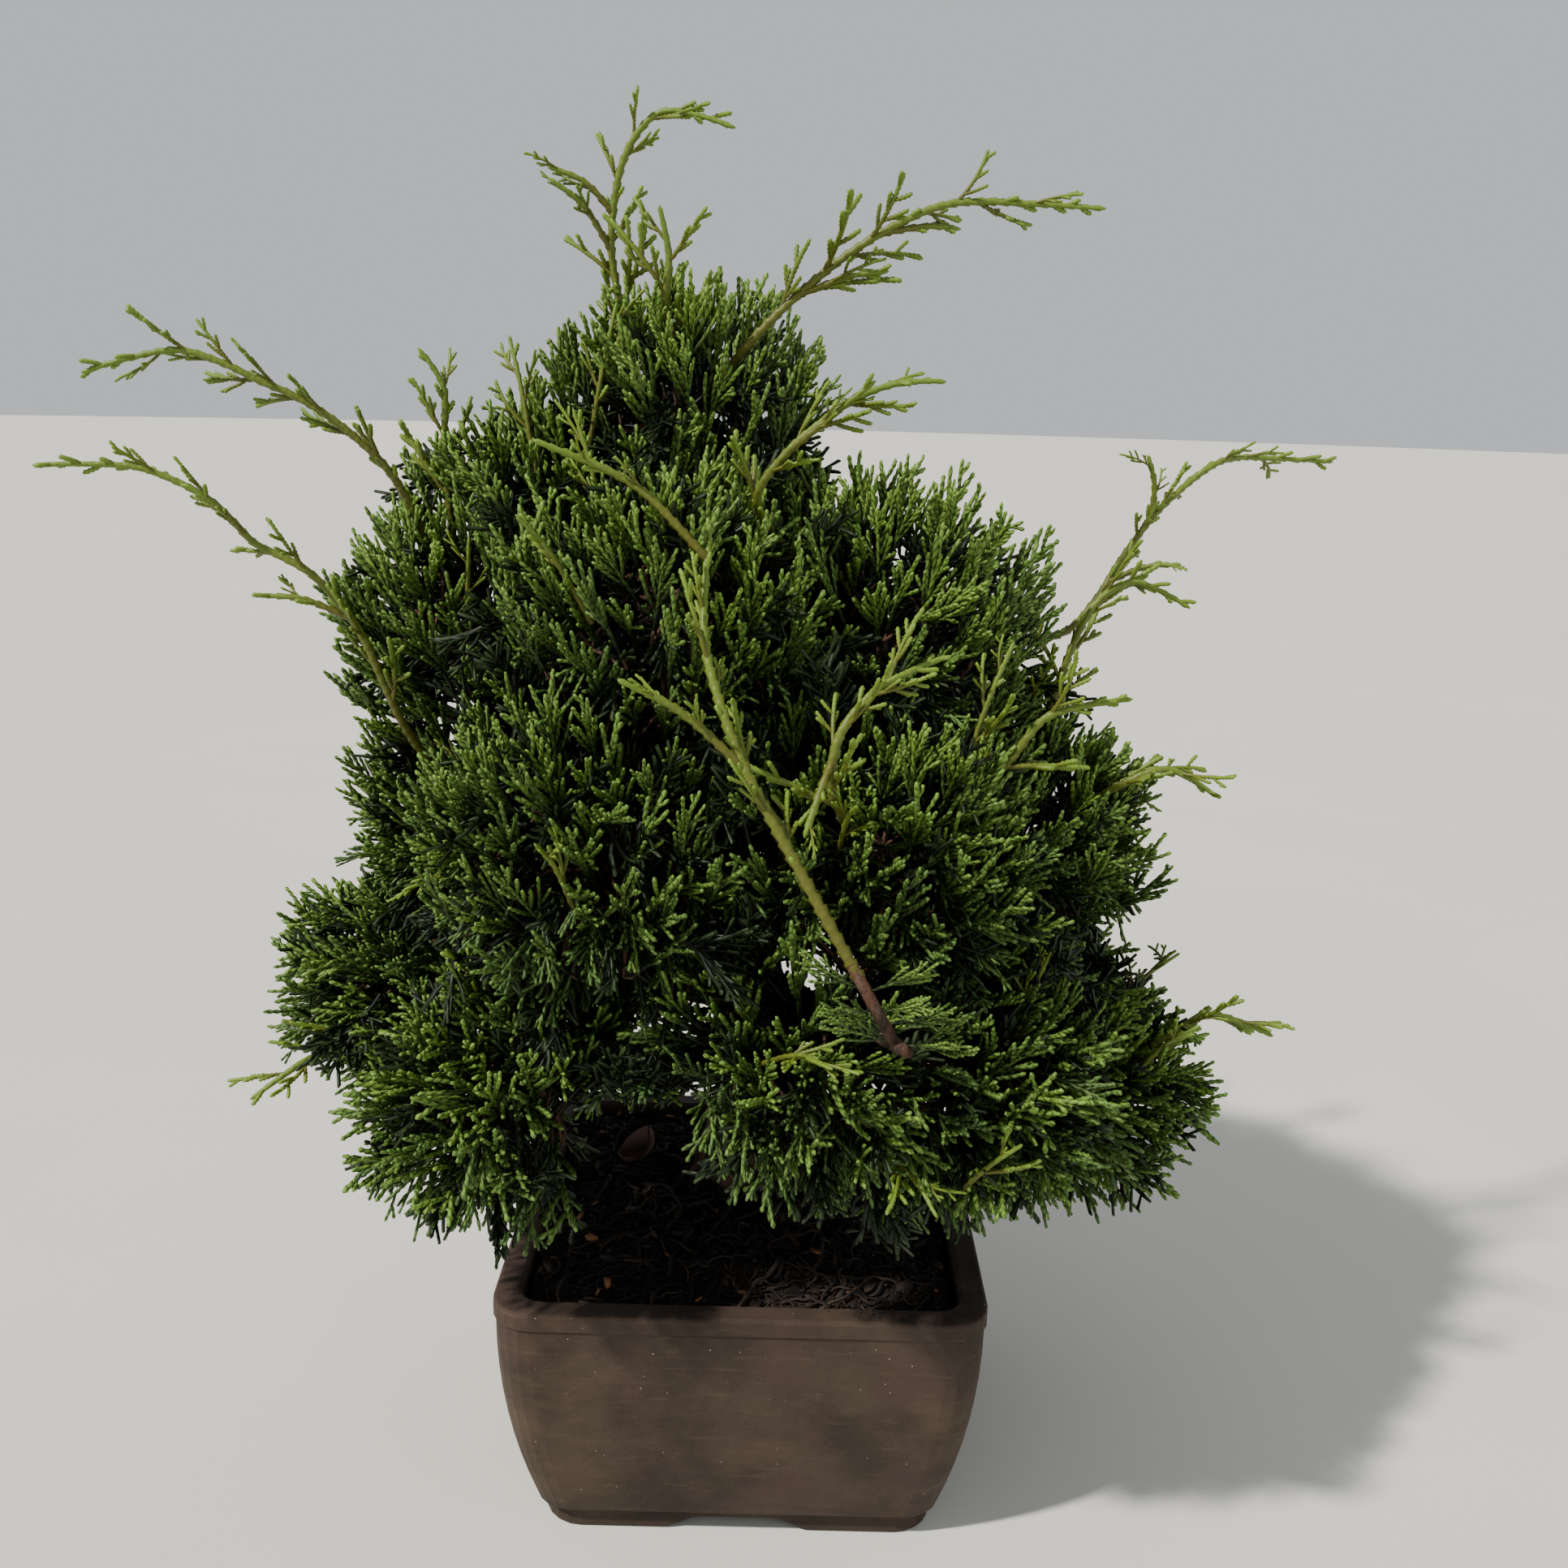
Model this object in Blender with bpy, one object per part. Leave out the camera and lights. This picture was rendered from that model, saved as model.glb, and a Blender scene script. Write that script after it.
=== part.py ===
"""A juniper bonsai in a square, unglazed clay pot.

Metres, +Z up. The pot stands on z = 0 and the trunk grows up through its soil. The trunk, the
branches and the long free shoots are tubes. Each cloud of foliage is one plain closed solid, cut
back halfway to its neighbours, with a socket for the branch and for each shoot that enters it.
"""
import math

import bmesh
import bpy
from mathutils import Vector, noise

MM = 0.001

# Pot, outside
POT_WIDTH = 0.176
POT_DEPTH = 0.170
POT_HEIGHT = 0.100
BODY_TAPER = 0.0125
CORNER_RADIUS = 0.014
LIP_HEIGHT = 0.007
LIP_STEP = 0.0007
LIP_ROUNDING = 0.0012

# Pot, walls and foot
RIM_THICKNESS = 0.0095
WALL_THICKNESS = 0.0085
FLOOR_THICKNESS = 0.008
INNER_FILLET = 0.007
FOOT_HEIGHT = 0.009
FOOT_INSET = 0.003
FOOT_THICKNESS = 0.009
ARCH_WIDTH = 0.059
ARCH_HEIGHT = 0.0055
ARCH_SHOULDER = 0.016
DRAIN_RADIUS = 0.012

# Mesh over the drain hole
MESH_SIDE = 0.034
MESH_THICKNESS = 0.0012
MESH_HOLES = 5
MESH_BAR = 0.0016

# Soil
SOIL_BELOW_RIM = 0.008
SOIL_MOUND = 0.005
SOIL_ROUGHNESS = 0.0012

# Trunk; its sway is (share of the height, x and y in millimetres) along its axis
TRUNK_HEIGHT = 0.308
TRUNK_BASE_RADIUS = 0.0150
TRUNK_TIP_RADIUS = 0.0026
TRUNK_BURIED = 0.022
ROOT_FLARE = 0.0080
ROOT_LOBES = 5
TRUNK_SWAY = [(0.0, -6, 24), (0.25, 2, 20), (0.5, -10, 12), (0.75, -22, 10), (1.0, -24, 6)]

# Branches
BRANCH_RADIUS_LOW = 0.0056
BRANCH_RADIUS_HIGH = 0.0036
BRANCH_TIP_RADIUS = 0.0021
BRANCH_DROP = 0.026

# Foliage
CANOPY_REACH = 0.127
PAD_GAP = 0.0010
PAD_LUMPS = 0.10
TRUNK_CLEARANCE = 0.006
RIM_CLEARANCE = 0.004

# Long shoots
SHOOT_RADIUS = 0.0016
SHOOT_TIP_RADIUS = 0.0008

# What touches keeps this gap
GAP = 0.0003

RING_STEPS = 6
SOIL_TOP = POT_HEIGHT - SOIL_BELOW_RIM
FLOOR_TOP = FOOT_HEIGHT + FLOOR_THICKNESS

# name: (share of the trunk's height, compass angle, share of the reach, half width, half height)
PADS = {
    "low_left": (0.31, 189, 1.00, 60, 47),
    "low_front_left": (0.25, 227, 0.98, 54, 50),
    "low_front": (0.33, 281, 0.88, 51, 47),
    "low_front_right": (0.28, 309, 0.92, 55, 49),
    "low_right": (0.21, 341, 1.02, 52, 48),
    "low_back_right": (0.26, 30, 0.84, 60, 50),
    "low_back_left": (0.29, 138, 0.78, 62, 50),
    "mid_left": (0.53, 187, 0.74, 48, 48),
    "mid_front_left": (0.56, 245, 0.74, 58, 52),
    "mid_front_right": (0.54, 305, 0.77, 57, 54),
    "mid_right": (0.50, 353, 0.84, 57, 56),
    "mid_back_right": (0.55, 50, 0.66, 60, 54),
    "mid_back_left": (0.57, 122, 0.66, 60, 54),
    "high_left": (0.76, 188, 0.63, 49, 46),
    "high_front": (0.80, 262, 0.48, 54, 50),
    "high_right": (0.75, 345, 0.53, 56, 49),
    "high_back": (0.80, 85, 0.40, 56, 48),
    "top_left": (0.88, 187, 0.37, 46, 38),
    "apex": (1.0, 10, 0.00, 43, 36),
}

# name: (pad it grows from, route from that pad's centre in millimetres)
SHOOTS = {
    "top": ("top_left", [(8, -1, 16), (21, -2, 58), (18, -2, 88), (22, -4, 116), (36, -7, 132),
                         (60, -10, 127)]),
    "top_small": ("apex", [(-5, -12, 14), (-8, -27, 34), (-7, -29, 49), (-10, -32, 64)]),
    "top_right": ("apex", [(9, -12, 8), (18, -27, 20), (36, -29, 38), (57, -32, 54), (82, -32, 66),
                           (108, -32, 67), (134, -32, 66)]),
    "upper_right": ("high_right", [(-20, -22, 20), (-43, -51, 50), (-21, -56, 77), (-1, -56, 87),
                                   (15, -56, 88)]),
    "far_left_up": ("high_left", [(-10, -8, 14), (-18, -18, 40), (-28, -24, 57), (-46, -28, 72),
                                  (-63, -30, 80), (-88, -33, 89), (-118, -38, 81)]),
    "far_left_low": ("mid_left", [(-6, -18, 12), (-14, -44, 40), (-24, -54, 72), (-38, -59, 92),
                                  (-55, -59, 101), (-68, -59, 114), (-90, -62, 124),
                                  (-120, -66, 124)]),
    "left_small": ("high_left", [(-6, -6, 24), (-8, -8, 58), (-7, -10, 79), (-15, -12, 92)]),
    "right": ("high_right", [(30, 8, -4), (70, 19, 0), (90, 29, 24), (105, 38, 43), (129, 50, 61),
                             (150, 60, 63), (179, 66, 62)]),
    "right_mid": ("mid_right", [(6, -4, 26), (14, -8, 66), (24, -6, 90), (39, -3, 98),
                                (59, -3, 89)]),
    "right_low": ("mid_right", [(16, -12, 12), (34, -28, 30), (50, -29, 36), (68, -28, 26)]),
    "front": ("mid_front_right", [(-8, -24, -4), (-21, -56, 0), (-32, -64, 24), (-43, -60, 42),
                                  (-53, -50, 64), (-58, -39, 84), (-57, -22, 109)]),
    "front_right": ("mid_front_right", [(-8, -20, 14), (-19, -46, 34), (-18, -47, 52),
                                        (-6, -40, 66), (15, -29, 74)]),
    "right_front": ("mid_front_right", [(16, 0, 14), (38, -6, 36), (50, -8, 52), (76, -8, 58)]),
    "low_left": ("low_left", [(-6, -20, -4), (-16, -52, -6), (-26, -68, -6), (-42, -78, -16)]),
    "low_right": ("low_right", [(14, -3, 8), (34, -6, 26), (48, -6, 32), (70, -6, 24)]),
    "back_high": ("high_back", [(-4, 18, 12), (-14, 42, 36), (-25, 60, 70), (-28, 74, 92)]),
    "back_right": ("mid_back_right", [(8, 14, 8), (20, 40, 34), (36, 50, 58), (58, 54, 76)]),
    "back_low": ("low_back_left", [(-12, 16, 8), (-34, 42, 20), (-58, 50, 26)]),
}


# ---------------------------------------------------------------- small helpers

def clear_scene():
    for thing in list(bpy.data.objects):
        bpy.data.objects.remove(thing, do_unlink=True)


def material(name, colour, roughness):
    made = bpy.data.materials.new(name)
    made.use_nodes = True
    shader = made.node_tree.nodes["Principled BSDF"]
    shader.inputs["Base Color"].default_value = (*colour, 1.0)
    shader.inputs["Roughness"].default_value = roughness
    shader.inputs["Metallic"].default_value = 0.0
    made.diffuse_color = (*colour, 1.0)
    return made


def place(name, mesh, look, parent=None):
    thing = bpy.data.objects.new(name, mesh)
    bpy.context.collection.objects.link(thing)
    if look:
        mesh.materials.append(look)
    if parent:
        thing.parent = parent
    return thing


def mesh_of(name, bm, sharp_angle=None):
    bmesh.ops.recalc_face_normals(bm, faces=bm.faces)
    mesh = bpy.data.meshes.new(name)
    bm.to_mesh(mesh)
    bm.free()
    if sharp_angle is not None:
        mesh.shade_smooth()
        mesh.set_sharp_from_angle(angle=math.radians(sharp_angle))
    return mesh


def cutter(name, mesh, parent=None):
    thing = place(name, mesh, None, parent)
    thing.hide_render = True
    thing.display_type = "WIRE"
    return thing


def cut(thing, tool):
    change = thing.modifiers.new("cut_" + tool.name, "BOOLEAN")
    change.operation = "DIFFERENCE"
    change.solver = "EXACT"
    change.object = tool


def loft(bm, rings, closed=False):
    """Bridge rings of equally many points. An open loft gets a flat cap at each end."""
    rows = [[bm.verts.new(point) for point in ring] for ring in rings]
    count = len(rows[0])
    pairs = list(zip(rows, rows[1:]))
    if closed:
        pairs.append((rows[-1], rows[0]))
    for low, high in pairs:
        for i in range(count):
            j = (i + 1) % count
            bm.faces.new((low[i], low[j], high[j], high[i]))
    if not closed:
        bm.faces.new(rows[0])
        bm.faces.new(rows[-1])


def smooth_route(points, per_span):
    """A smooth curve through the points. Each point is a tuple of any length."""
    padded = [points[0]] + list(points) + [points[-1]]
    route = []
    for a, b, c, d in zip(padded, padded[1:], padded[2:], padded[3:]):
        for step in range(per_span):
            t = step / per_span
            route.append(tuple(
                0.5 * (2 * q + (r - p) * t + (2 * p - 5 * q + 4 * r - s) * t * t
                       + (3 * q - p - 3 * r + s) * t ** 3)
                for p, q, r, s in zip(a, b, c, d)))
    route.append(tuple(points[-1]))
    return route


def tube_mesh(name, route, grow=0.0):
    """A round tube with closed ends along (x, y, z, radius) points, grown all round if asked."""
    curve = bpy.data.curves.new(name, "CURVE")
    curve.dimensions = "3D"
    curve.bevel_depth = MM
    curve.bevel_resolution = 1
    curve.use_fill_caps = True
    line = curve.splines.new("POLY")
    line.points.add(len(route) - 1)
    for spot, (x, y, z, radius) in zip(line.points, route):
        spot.co = (x, y, z, 1.0)
        spot.radius = (radius + grow) / MM
    if grow:
        tip = Vector(route[-1][:3])
        onward = (tip - Vector(route[-2][:3])).normalized()
        line.points[-1].co = (*(tip + onward * grow), 1.0)
    guide = bpy.data.objects.new(name, curve)
    bpy.context.collection.objects.link(guide)
    bpy.context.view_layer.update()
    mesh = bpy.data.meshes.new_from_object(guide.evaluated_get(
        bpy.context.evaluated_depsgraph_get()))
    bpy.data.objects.remove(guide, do_unlink=True)
    bpy.data.curves.remove(curve)
    bm = bmesh.new()
    bm.from_mesh(mesh)
    bpy.data.meshes.remove(mesh)
    bmesh.ops.remove_doubles(bm, verts=bm.verts, dist=1e-6)
    return mesh_of(name, bm, 60)


# ---------------------------------------------------------------- pot

def square_ring(inset, z, corner):
    """A rounded rectangle, drawn in by inset from the rim's outer edge."""
    half_x = POT_WIDTH / 2 - inset
    half_y = POT_DEPTH / 2 - inset
    corner = min(corner, half_x * 0.98, half_y * 0.98)
    ring = []
    for quarter, (sx, sy) in enumerate([(1, 1), (-1, 1), (-1, -1), (1, -1)]):
        for step in range(RING_STEPS):
            angle = math.pi / 2 * (quarter + step / (RING_STEPS - 1))
            ring.append((sx * (half_x - corner) + corner * math.cos(angle),
                         sy * (half_y - corner) + corner * math.sin(angle), z))
    return ring


def round_ring(radius, z):
    """A circle with as many points as square_ring, starting at the same side."""
    count = 4 * RING_STEPS
    return [(radius * math.cos((i + 0.5) * math.tau / count),
             radius * math.sin((i + 0.5) * math.tau / count), z) for i in range(count)]


def outer_inset(z):
    """How far the bellied wall has drawn in at height z."""
    lip = POT_HEIGHT - LIP_HEIGHT
    down = max(0.0, (lip - z) / (lip - FOOT_HEIGHT))
    return BODY_TAPER * down ** 1.9


def inner_inset(z):
    """The inside of the wall: thickest at the rim."""
    down = min(1.0, max(0.0, (POT_HEIGHT - z) / (POT_HEIGHT - FLOOR_TOP)))
    thickness = RIM_THICKNESS + (WALL_THICKNESS - RIM_THICKNESS) * down
    return outer_inset(z) + thickness


def pot_outside():
    foot = BODY_TAPER + FOOT_INSET
    corner = CORNER_RADIUS
    rings = [
        square_ring(foot + FOOT_THICKNESS, FOOT_HEIGHT, corner * 0.6),
        square_ring(foot + FOOT_THICKNESS, 0.0, corner * 0.6),
        square_ring(foot + 0.0008, 0.0, corner - 0.0008),
        square_ring(foot, 0.0008, corner),
        square_ring(foot, FOOT_HEIGHT, corner),
        square_ring(BODY_TAPER + 0.0008, FOOT_HEIGHT, corner),
    ]
    lip = POT_HEIGHT - LIP_HEIGHT
    for step in range(9):
        z = FOOT_HEIGHT + 0.0008 + (lip - FOOT_HEIGHT - 0.0008) * step / 8
        rings.append(square_ring(outer_inset(z) + LIP_STEP * (step / 8) ** 2, z, corner))
    return rings


def pot_inside():
    lip = POT_HEIGHT - LIP_HEIGHT
    edge = LIP_ROUNDING
    corner = CORNER_RADIUS
    inner = corner - RIM_THICKNESS * 0.5
    rings = [
        square_ring(0.0, lip + LIP_STEP, corner),
        square_ring(0.0, POT_HEIGHT - edge, corner),
        square_ring(edge * 0.3, POT_HEIGHT - edge * 0.3, corner - edge * 0.3),
        square_ring(edge, POT_HEIGHT, corner - edge),
        square_ring(RIM_THICKNESS - edge, POT_HEIGHT, inner + edge),
        square_ring(RIM_THICKNESS, POT_HEIGHT - edge, inner),
    ]
    low = FLOOR_TOP + INNER_FILLET
    for step in range(1, 5):
        z = POT_HEIGHT - edge + (low - POT_HEIGHT + edge) * step / 4
        rings.append(square_ring(inner_inset(z), z, inner))
    for turn in (30, 60, 90):
        swing = math.radians(turn)
        z = low - INNER_FILLET * math.sin(swing)
        inset = inner_inset(z) + INNER_FILLET * (1 - math.cos(swing))
        rings.append(square_ring(inset, z, inner))
    return rings


def make_pot(look):
    bm = bmesh.new()
    rings = [round_ring(DRAIN_RADIUS, FOOT_HEIGHT)] + pot_outside() + pot_inside()
    rings.append(round_ring(DRAIN_RADIUS, FLOOR_TOP))
    loft(bm, rings, closed=True)
    pot = place("pot", mesh_of("pot", bm, 35), look)
    for turn, span in ((0, POT_DEPTH), (90, POT_WIDTH)):
        arch = cutter("foot_arch_%d" % turn, arch_mesh(span), pot)
        arch.rotation_euler.z = math.radians(turn)
        cut(pot, arch)
    return pot


def arch_mesh(span):
    """A low opening with curved shoulders, run under the whole pot along Y."""
    half = ARCH_WIDTH / 2
    below = 0.002
    outline = [(-half, -below)]
    for step in range(6):
        s = step / 5
        rise = s * s * (3 - 2 * s)
        outline.append((-half + ARCH_SHOULDER * s, ARCH_HEIGHT * rise))
    outline += [(-x, z) for x, z in reversed(outline)]
    bm = bmesh.new()
    loft(bm, [[(x, y, z) for x, z in outline] for y in (-span * 0.6, span * 0.6)])
    return mesh_of("foot_arch", bm)


# ---------------------------------------------------------------- mesh and soil

def box_mesh(name, size_x, size_y, low, high):
    bm = bmesh.new()
    x, y = size_x / 2, size_y / 2
    loft(bm, [[(-x, -y, z), (x, -y, z), (x, y, z), (-x, y, z)] for z in (low, high)])
    return mesh_of(name, bm)


def make_drain_mesh(look, parent):
    low = FLOOR_TOP + GAP
    high = low + MESH_THICKNESS
    plate = place("drain_mesh", box_mesh("drain_mesh", MESH_SIDE, MESH_SIDE, low, high), look,
                  parent)
    pitch = (MESH_SIDE - MESH_BAR) / MESH_HOLES
    half = (pitch - MESH_BAR) / 2
    bm = bmesh.new()
    for column in range(MESH_HOLES):
        for row in range(MESH_HOLES):
            x = (column - (MESH_HOLES - 1) / 2) * pitch
            y = (row - (MESH_HOLES - 1) / 2) * pitch
            loft(bm, [[(x - half, y - half, z), (x + half, y - half, z),
                       (x + half, y + half, z), (x - half, y + half, z)]
                      for z in (low - MM, high + MM)])
    cut(plate, cutter("mesh_holes", mesh_of("mesh_holes", bm), parent))
    return plate


def soil_height(x, y, share):
    """The soil's surface: a low mound, with clods. share is 1 at the wall and 0 in the middle."""
    clods = noise.noise(Vector((x, y, 0.3)) * 55.0) + 0.6 * noise.noise(Vector((y, x, 7.1)) * 130.0)
    return SOIL_TOP + SOIL_MOUND * (1 - share * share) + SOIL_ROUGHNESS * clods


def make_soil(look, parent):
    inner = CORNER_RADIUS - RIM_THICKNESS * 0.5
    base = FLOOR_TOP + GAP
    rings = [square_ring(inner_inset(base) + INNER_FILLET + GAP, base, inner)]
    for turn in (60, 30, 0):
        swing = math.radians(turn)
        z = FLOOR_TOP + INNER_FILLET * (1 - math.sin(swing)) + GAP
        inset = inner_inset(z) + INNER_FILLET * (1 - math.cos(swing)) + GAP
        rings.append(square_ring(inset, z, inner))
    low = FLOOR_TOP + INNER_FILLET + GAP
    edge = SOIL_TOP - 2 * SOIL_ROUGHNESS
    for step in range(1, 4):
        z = low + (edge - low) * step / 3
        rings.append(square_ring(inner_inset(z) + GAP, z, inner))
    for share in (0.97, 0.84, 0.68, 0.52, 0.36, 0.2, 0.06):
        ring = square_ring(inner_inset(edge) + GAP, 0.0, inner)
        rings.append([(x * share, y * share, soil_height(x * share, y * share, share))
                      for x, y, _ in ring])
    bm = bmesh.new()
    loft(bm, rings)
    soil = place("soil", mesh_of("soil", bm, 50), look, parent)
    side = MESH_SIDE + 2 * GAP
    recess = box_mesh("mesh_recess", side, side, FLOOR_TOP, FLOOR_TOP + MESH_THICKNESS + 2 * GAP)
    cut(soil, cutter("mesh_recess", recess, parent))
    return soil


# ---------------------------------------------------------------- trunk

def trunk_axis(share):
    """The middle of the trunk at a share of its height above the soil."""
    route = smooth_route([(s, x * MM, y * MM) for s, x, y in TRUNK_SWAY], 8)
    for low, high in zip(route, route[1:]):
        if low[0] <= share <= high[0]:
            part = (share - low[0]) / (high[0] - low[0])
            x = low[1] + (high[1] - low[1]) * part
            y = low[2] + (high[2] - low[2]) * part
            return Vector((x, y, SOIL_TOP + SOIL_MOUND + TRUNK_HEIGHT * share))
    end = route[0] if share < 0 else route[-1]
    return Vector((end[1], end[2], SOIL_TOP + SOIL_MOUND + TRUNK_HEIGHT * share))


def trunk_radius(share):
    taper = (1 - min(1.0, max(0.0, share))) ** 0.9
    return TRUNK_TIP_RADIUS + (TRUNK_BASE_RADIUS - TRUNK_TIP_RADIUS) * taper


def trunk_ring(share, grow, scale=1.0, count=14):
    """One level of the trunk, with root lobes that fade away up the trunk."""
    middle = trunk_axis(share)
    above = max(0.0, share * TRUNK_HEIGHT)
    flare = ROOT_FLARE * math.exp(-above / 0.016)
    ring = []
    for i in range(count):
        angle = math.tau * i / count
        lobe = 0.55 + 0.45 * math.cos(ROOT_LOBES * angle + 0.8)
        ripple = 1 + 0.06 * math.sin(3 * angle + 20 * share)
        radius = (trunk_radius(share) * ripple + flare * lobe) * scale + grow
        ring.append((middle.x + radius * math.cos(angle), middle.y + radius * math.sin(angle),
                     middle.z))
    return ring


def trunk_mesh(name, grow=0.0):
    buried = TRUNK_BURIED / TRUNK_HEIGHT
    rings = [trunk_ring(-buried - grow / TRUNK_HEIGHT, grow, 0.45),
             trunk_ring(-buried * 0.6, grow, 0.85)]
    for share in (-0.02, 0.0, 0.02, 0.05, 0.1, 0.18, 0.28, 0.4, 0.52, 0.64, 0.76, 0.88, 0.99):
        rings.append(trunk_ring(share, grow))
    if grow:
        rings.append(trunk_ring(0.99 + grow / TRUNK_HEIGHT, grow))
    bm = bmesh.new()
    loft(bm, rings)
    # The same diagonals in the trunk and in its socket keep the gap between them even
    bmesh.ops.triangulate(bm, faces=bm.faces[:], quad_method="FIXED")
    return mesh_of(name, bm, 60)


# ---------------------------------------------------------------- branches, foliage, shoots

def pad_centre(name):
    share, angle, reach, _, _ = PADS[name]
    turn = math.radians(angle)
    out = Vector((math.cos(turn), math.sin(turn), 0.0))
    return trunk_axis(share) + out * (CANOPY_REACH * reach)


def pad_limits(name):
    """Planes that bound a pad: (outward normal, distance from its centre)."""
    centre = pad_centre(name)
    limits = []
    for other in PADS:
        if other != name:
            apart = pad_centre(other) - centre
            limits.append((apart.normalized(), apart.length / 2 - PAD_GAP / 2))
    share = PADS[name][0]
    inward = trunk_axis(share) - centre
    if inward.length > trunk_radius(share) + 2 * TRUNK_CLEARANCE:
        room = inward.length - trunk_radius(share) - TRUNK_CLEARANCE
        limits.append((inward.normalized(), room))
    limits.append((Vector((0, 0, -1)), centre.z - POT_HEIGHT - RIM_CLEARANCE))
    return limits


def pad_reach(name, direction, limits):
    """Distance from a pad's centre to its surface along a unit direction."""
    _, angle, _, half_width, half_height = PADS[name]
    flat = math.hypot(direction.x, direction.y) / (half_width * MM)
    upright = direction.z / (half_height * MM)
    lumps = noise.noise(direction * 2.4 + Vector((angle * 0.37, half_height * 0.61, 0.0)))
    reach = (1 + PAD_LUMPS * lumps * 2) / math.hypot(flat, upright)
    for normal, distance in limits:
        along = direction.dot(normal)
        if along > 1e-6:
            reach = min(reach, distance / along)
    return reach


def make_pad(name, look, parent):
    bm = bmesh.new()
    bmesh.ops.create_icosphere(bm, subdivisions=3, radius=1.0)
    limits = pad_limits(name)
    centre = pad_centre(name)
    for vertex in bm.verts:
        direction = vertex.co.normalized()
        vertex.co = direction * pad_reach(name, direction, limits)
    pad = place("foliage_" + name, mesh_of("foliage_" + name, bm, 60), look, parent)
    pad.location = centre
    return pad


def branch_route(name):
    """From the trunk's heart, out and a little up, into the middle of its pad."""
    share = PADS[name][0]
    start_share = max(0.06, share - BRANCH_DROP / TRUNK_HEIGHT)
    start = trunk_axis(start_share)
    end = start + (pad_centre(name) - start) * 0.94
    middle = start.lerp(end, 0.5) + Vector((0, 0, 0.12 * (end - start).length))
    thick = BRANCH_RADIUS_HIGH + (BRANCH_RADIUS_LOW - BRANCH_RADIUS_HIGH) * (1 - share)
    return smooth_route([(*start, thick), (*middle, (thick + BRANCH_TIP_RADIUS) / 2),
                         (*end, BRANCH_TIP_RADIUS)], 4)


def shoot_route(name):
    pad, steps = SHOOTS[name]
    centre = pad_centre(pad)
    last = len(steps) - 1
    points = []
    for i, step in enumerate(steps):
        radius = SHOOT_RADIUS + (SHOOT_TIP_RADIUS - SHOOT_RADIUS) * i / last
        points.append((*(centre + Vector(step) * MM), radius))
    return smooth_route(points, 2)


def passes(route, pad):
    """Whether a route enters a pad, or comes close enough to touch it."""
    centre = pad_centre(pad)
    limits = pad_limits(pad)
    for low, high in zip(route, route[1:]):
        for step in range(4):
            spot = Vector(low[:3]).lerp(Vector(high[:3]), step / 4)
            away = spot - centre
            margin = low[3] + 2 * GAP
            if away.length < margin + pad_reach(pad, away.normalized(), limits):
                return True
    return False


def make_stems(prefix, names, route_of, look, parent):
    """Tubes along each route, with the matching cutter for the pads they enter."""
    stems = {}
    for name in names:
        route = route_of(name)
        stem = place(prefix + name, tube_mesh(prefix + name, route), look, parent)
        socket = cutter("socket_" + prefix + name,
                        tube_mesh("socket_" + prefix + name, route, GAP), parent)
        stems[name] = (stem, socket, route)
    return stems


def build():
    clear_scene()
    clay = material("clay", (0.082, 0.052, 0.040), 0.88)
    grit = material("soil", (0.030, 0.018, 0.012), 0.95)
    net = material("mesh_plastic", (0.020, 0.020, 0.020), 0.55)
    bark = material("bark", (0.110, 0.060, 0.040), 0.90)
    leaf = material("foliage", (0.030, 0.050, 0.016), 0.60)
    fresh = material("fresh_shoot", (0.090, 0.120, 0.030), 0.55)

    pot = make_pot(clay)
    make_drain_mesh(net, pot)
    soil = make_soil(grit, pot)
    trunk = place("trunk", trunk_mesh("trunk"), bark, pot)
    trunk_socket = cutter("socket_trunk", trunk_mesh("socket_trunk", GAP), pot)
    cut(soil, trunk_socket)

    pads = {name: make_pad(name, leaf, trunk) for name in PADS}
    cut(pads["apex"], trunk_socket)
    limbs = make_stems("branch_", [n for n in PADS if n != "apex"], branch_route, bark, trunk)
    for stem, _, _ in limbs.values():
        cut(stem, trunk_socket)
    shoots = make_stems("shoot_", SHOOTS, shoot_route, fresh, trunk)
    for _, socket, route in list(limbs.values()) + list(shoots.values()):
        for name, pad in pads.items():
            if passes(route, name):
                cut(pad, socket)


build()
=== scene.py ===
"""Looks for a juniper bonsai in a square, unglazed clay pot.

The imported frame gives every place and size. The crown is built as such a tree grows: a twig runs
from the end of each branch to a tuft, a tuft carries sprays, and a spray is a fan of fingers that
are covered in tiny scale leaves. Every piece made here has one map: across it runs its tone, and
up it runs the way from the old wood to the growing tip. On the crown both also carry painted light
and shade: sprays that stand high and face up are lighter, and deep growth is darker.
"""

import math
import random

import bpy
import numpy as np
from mathutils import Matrix, Vector, noise
from mathutils.bvhtree import BVHTree


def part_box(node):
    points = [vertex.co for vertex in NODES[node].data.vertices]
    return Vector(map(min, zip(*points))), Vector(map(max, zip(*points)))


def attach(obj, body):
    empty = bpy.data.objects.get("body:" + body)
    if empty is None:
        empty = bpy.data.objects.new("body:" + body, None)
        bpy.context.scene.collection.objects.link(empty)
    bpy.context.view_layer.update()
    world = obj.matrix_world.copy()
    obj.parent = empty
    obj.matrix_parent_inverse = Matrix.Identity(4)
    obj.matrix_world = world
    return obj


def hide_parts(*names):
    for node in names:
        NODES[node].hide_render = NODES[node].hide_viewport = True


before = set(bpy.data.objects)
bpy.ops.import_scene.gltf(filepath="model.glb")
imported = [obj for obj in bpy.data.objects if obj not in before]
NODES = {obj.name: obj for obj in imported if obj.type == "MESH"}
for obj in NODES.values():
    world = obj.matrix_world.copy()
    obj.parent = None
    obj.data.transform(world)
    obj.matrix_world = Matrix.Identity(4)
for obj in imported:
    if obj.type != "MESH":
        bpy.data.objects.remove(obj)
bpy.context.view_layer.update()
MM = 0.001
UP = np.array((0.0, 0.0, 1.0))
MAP_NAME = "OFBake"

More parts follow.
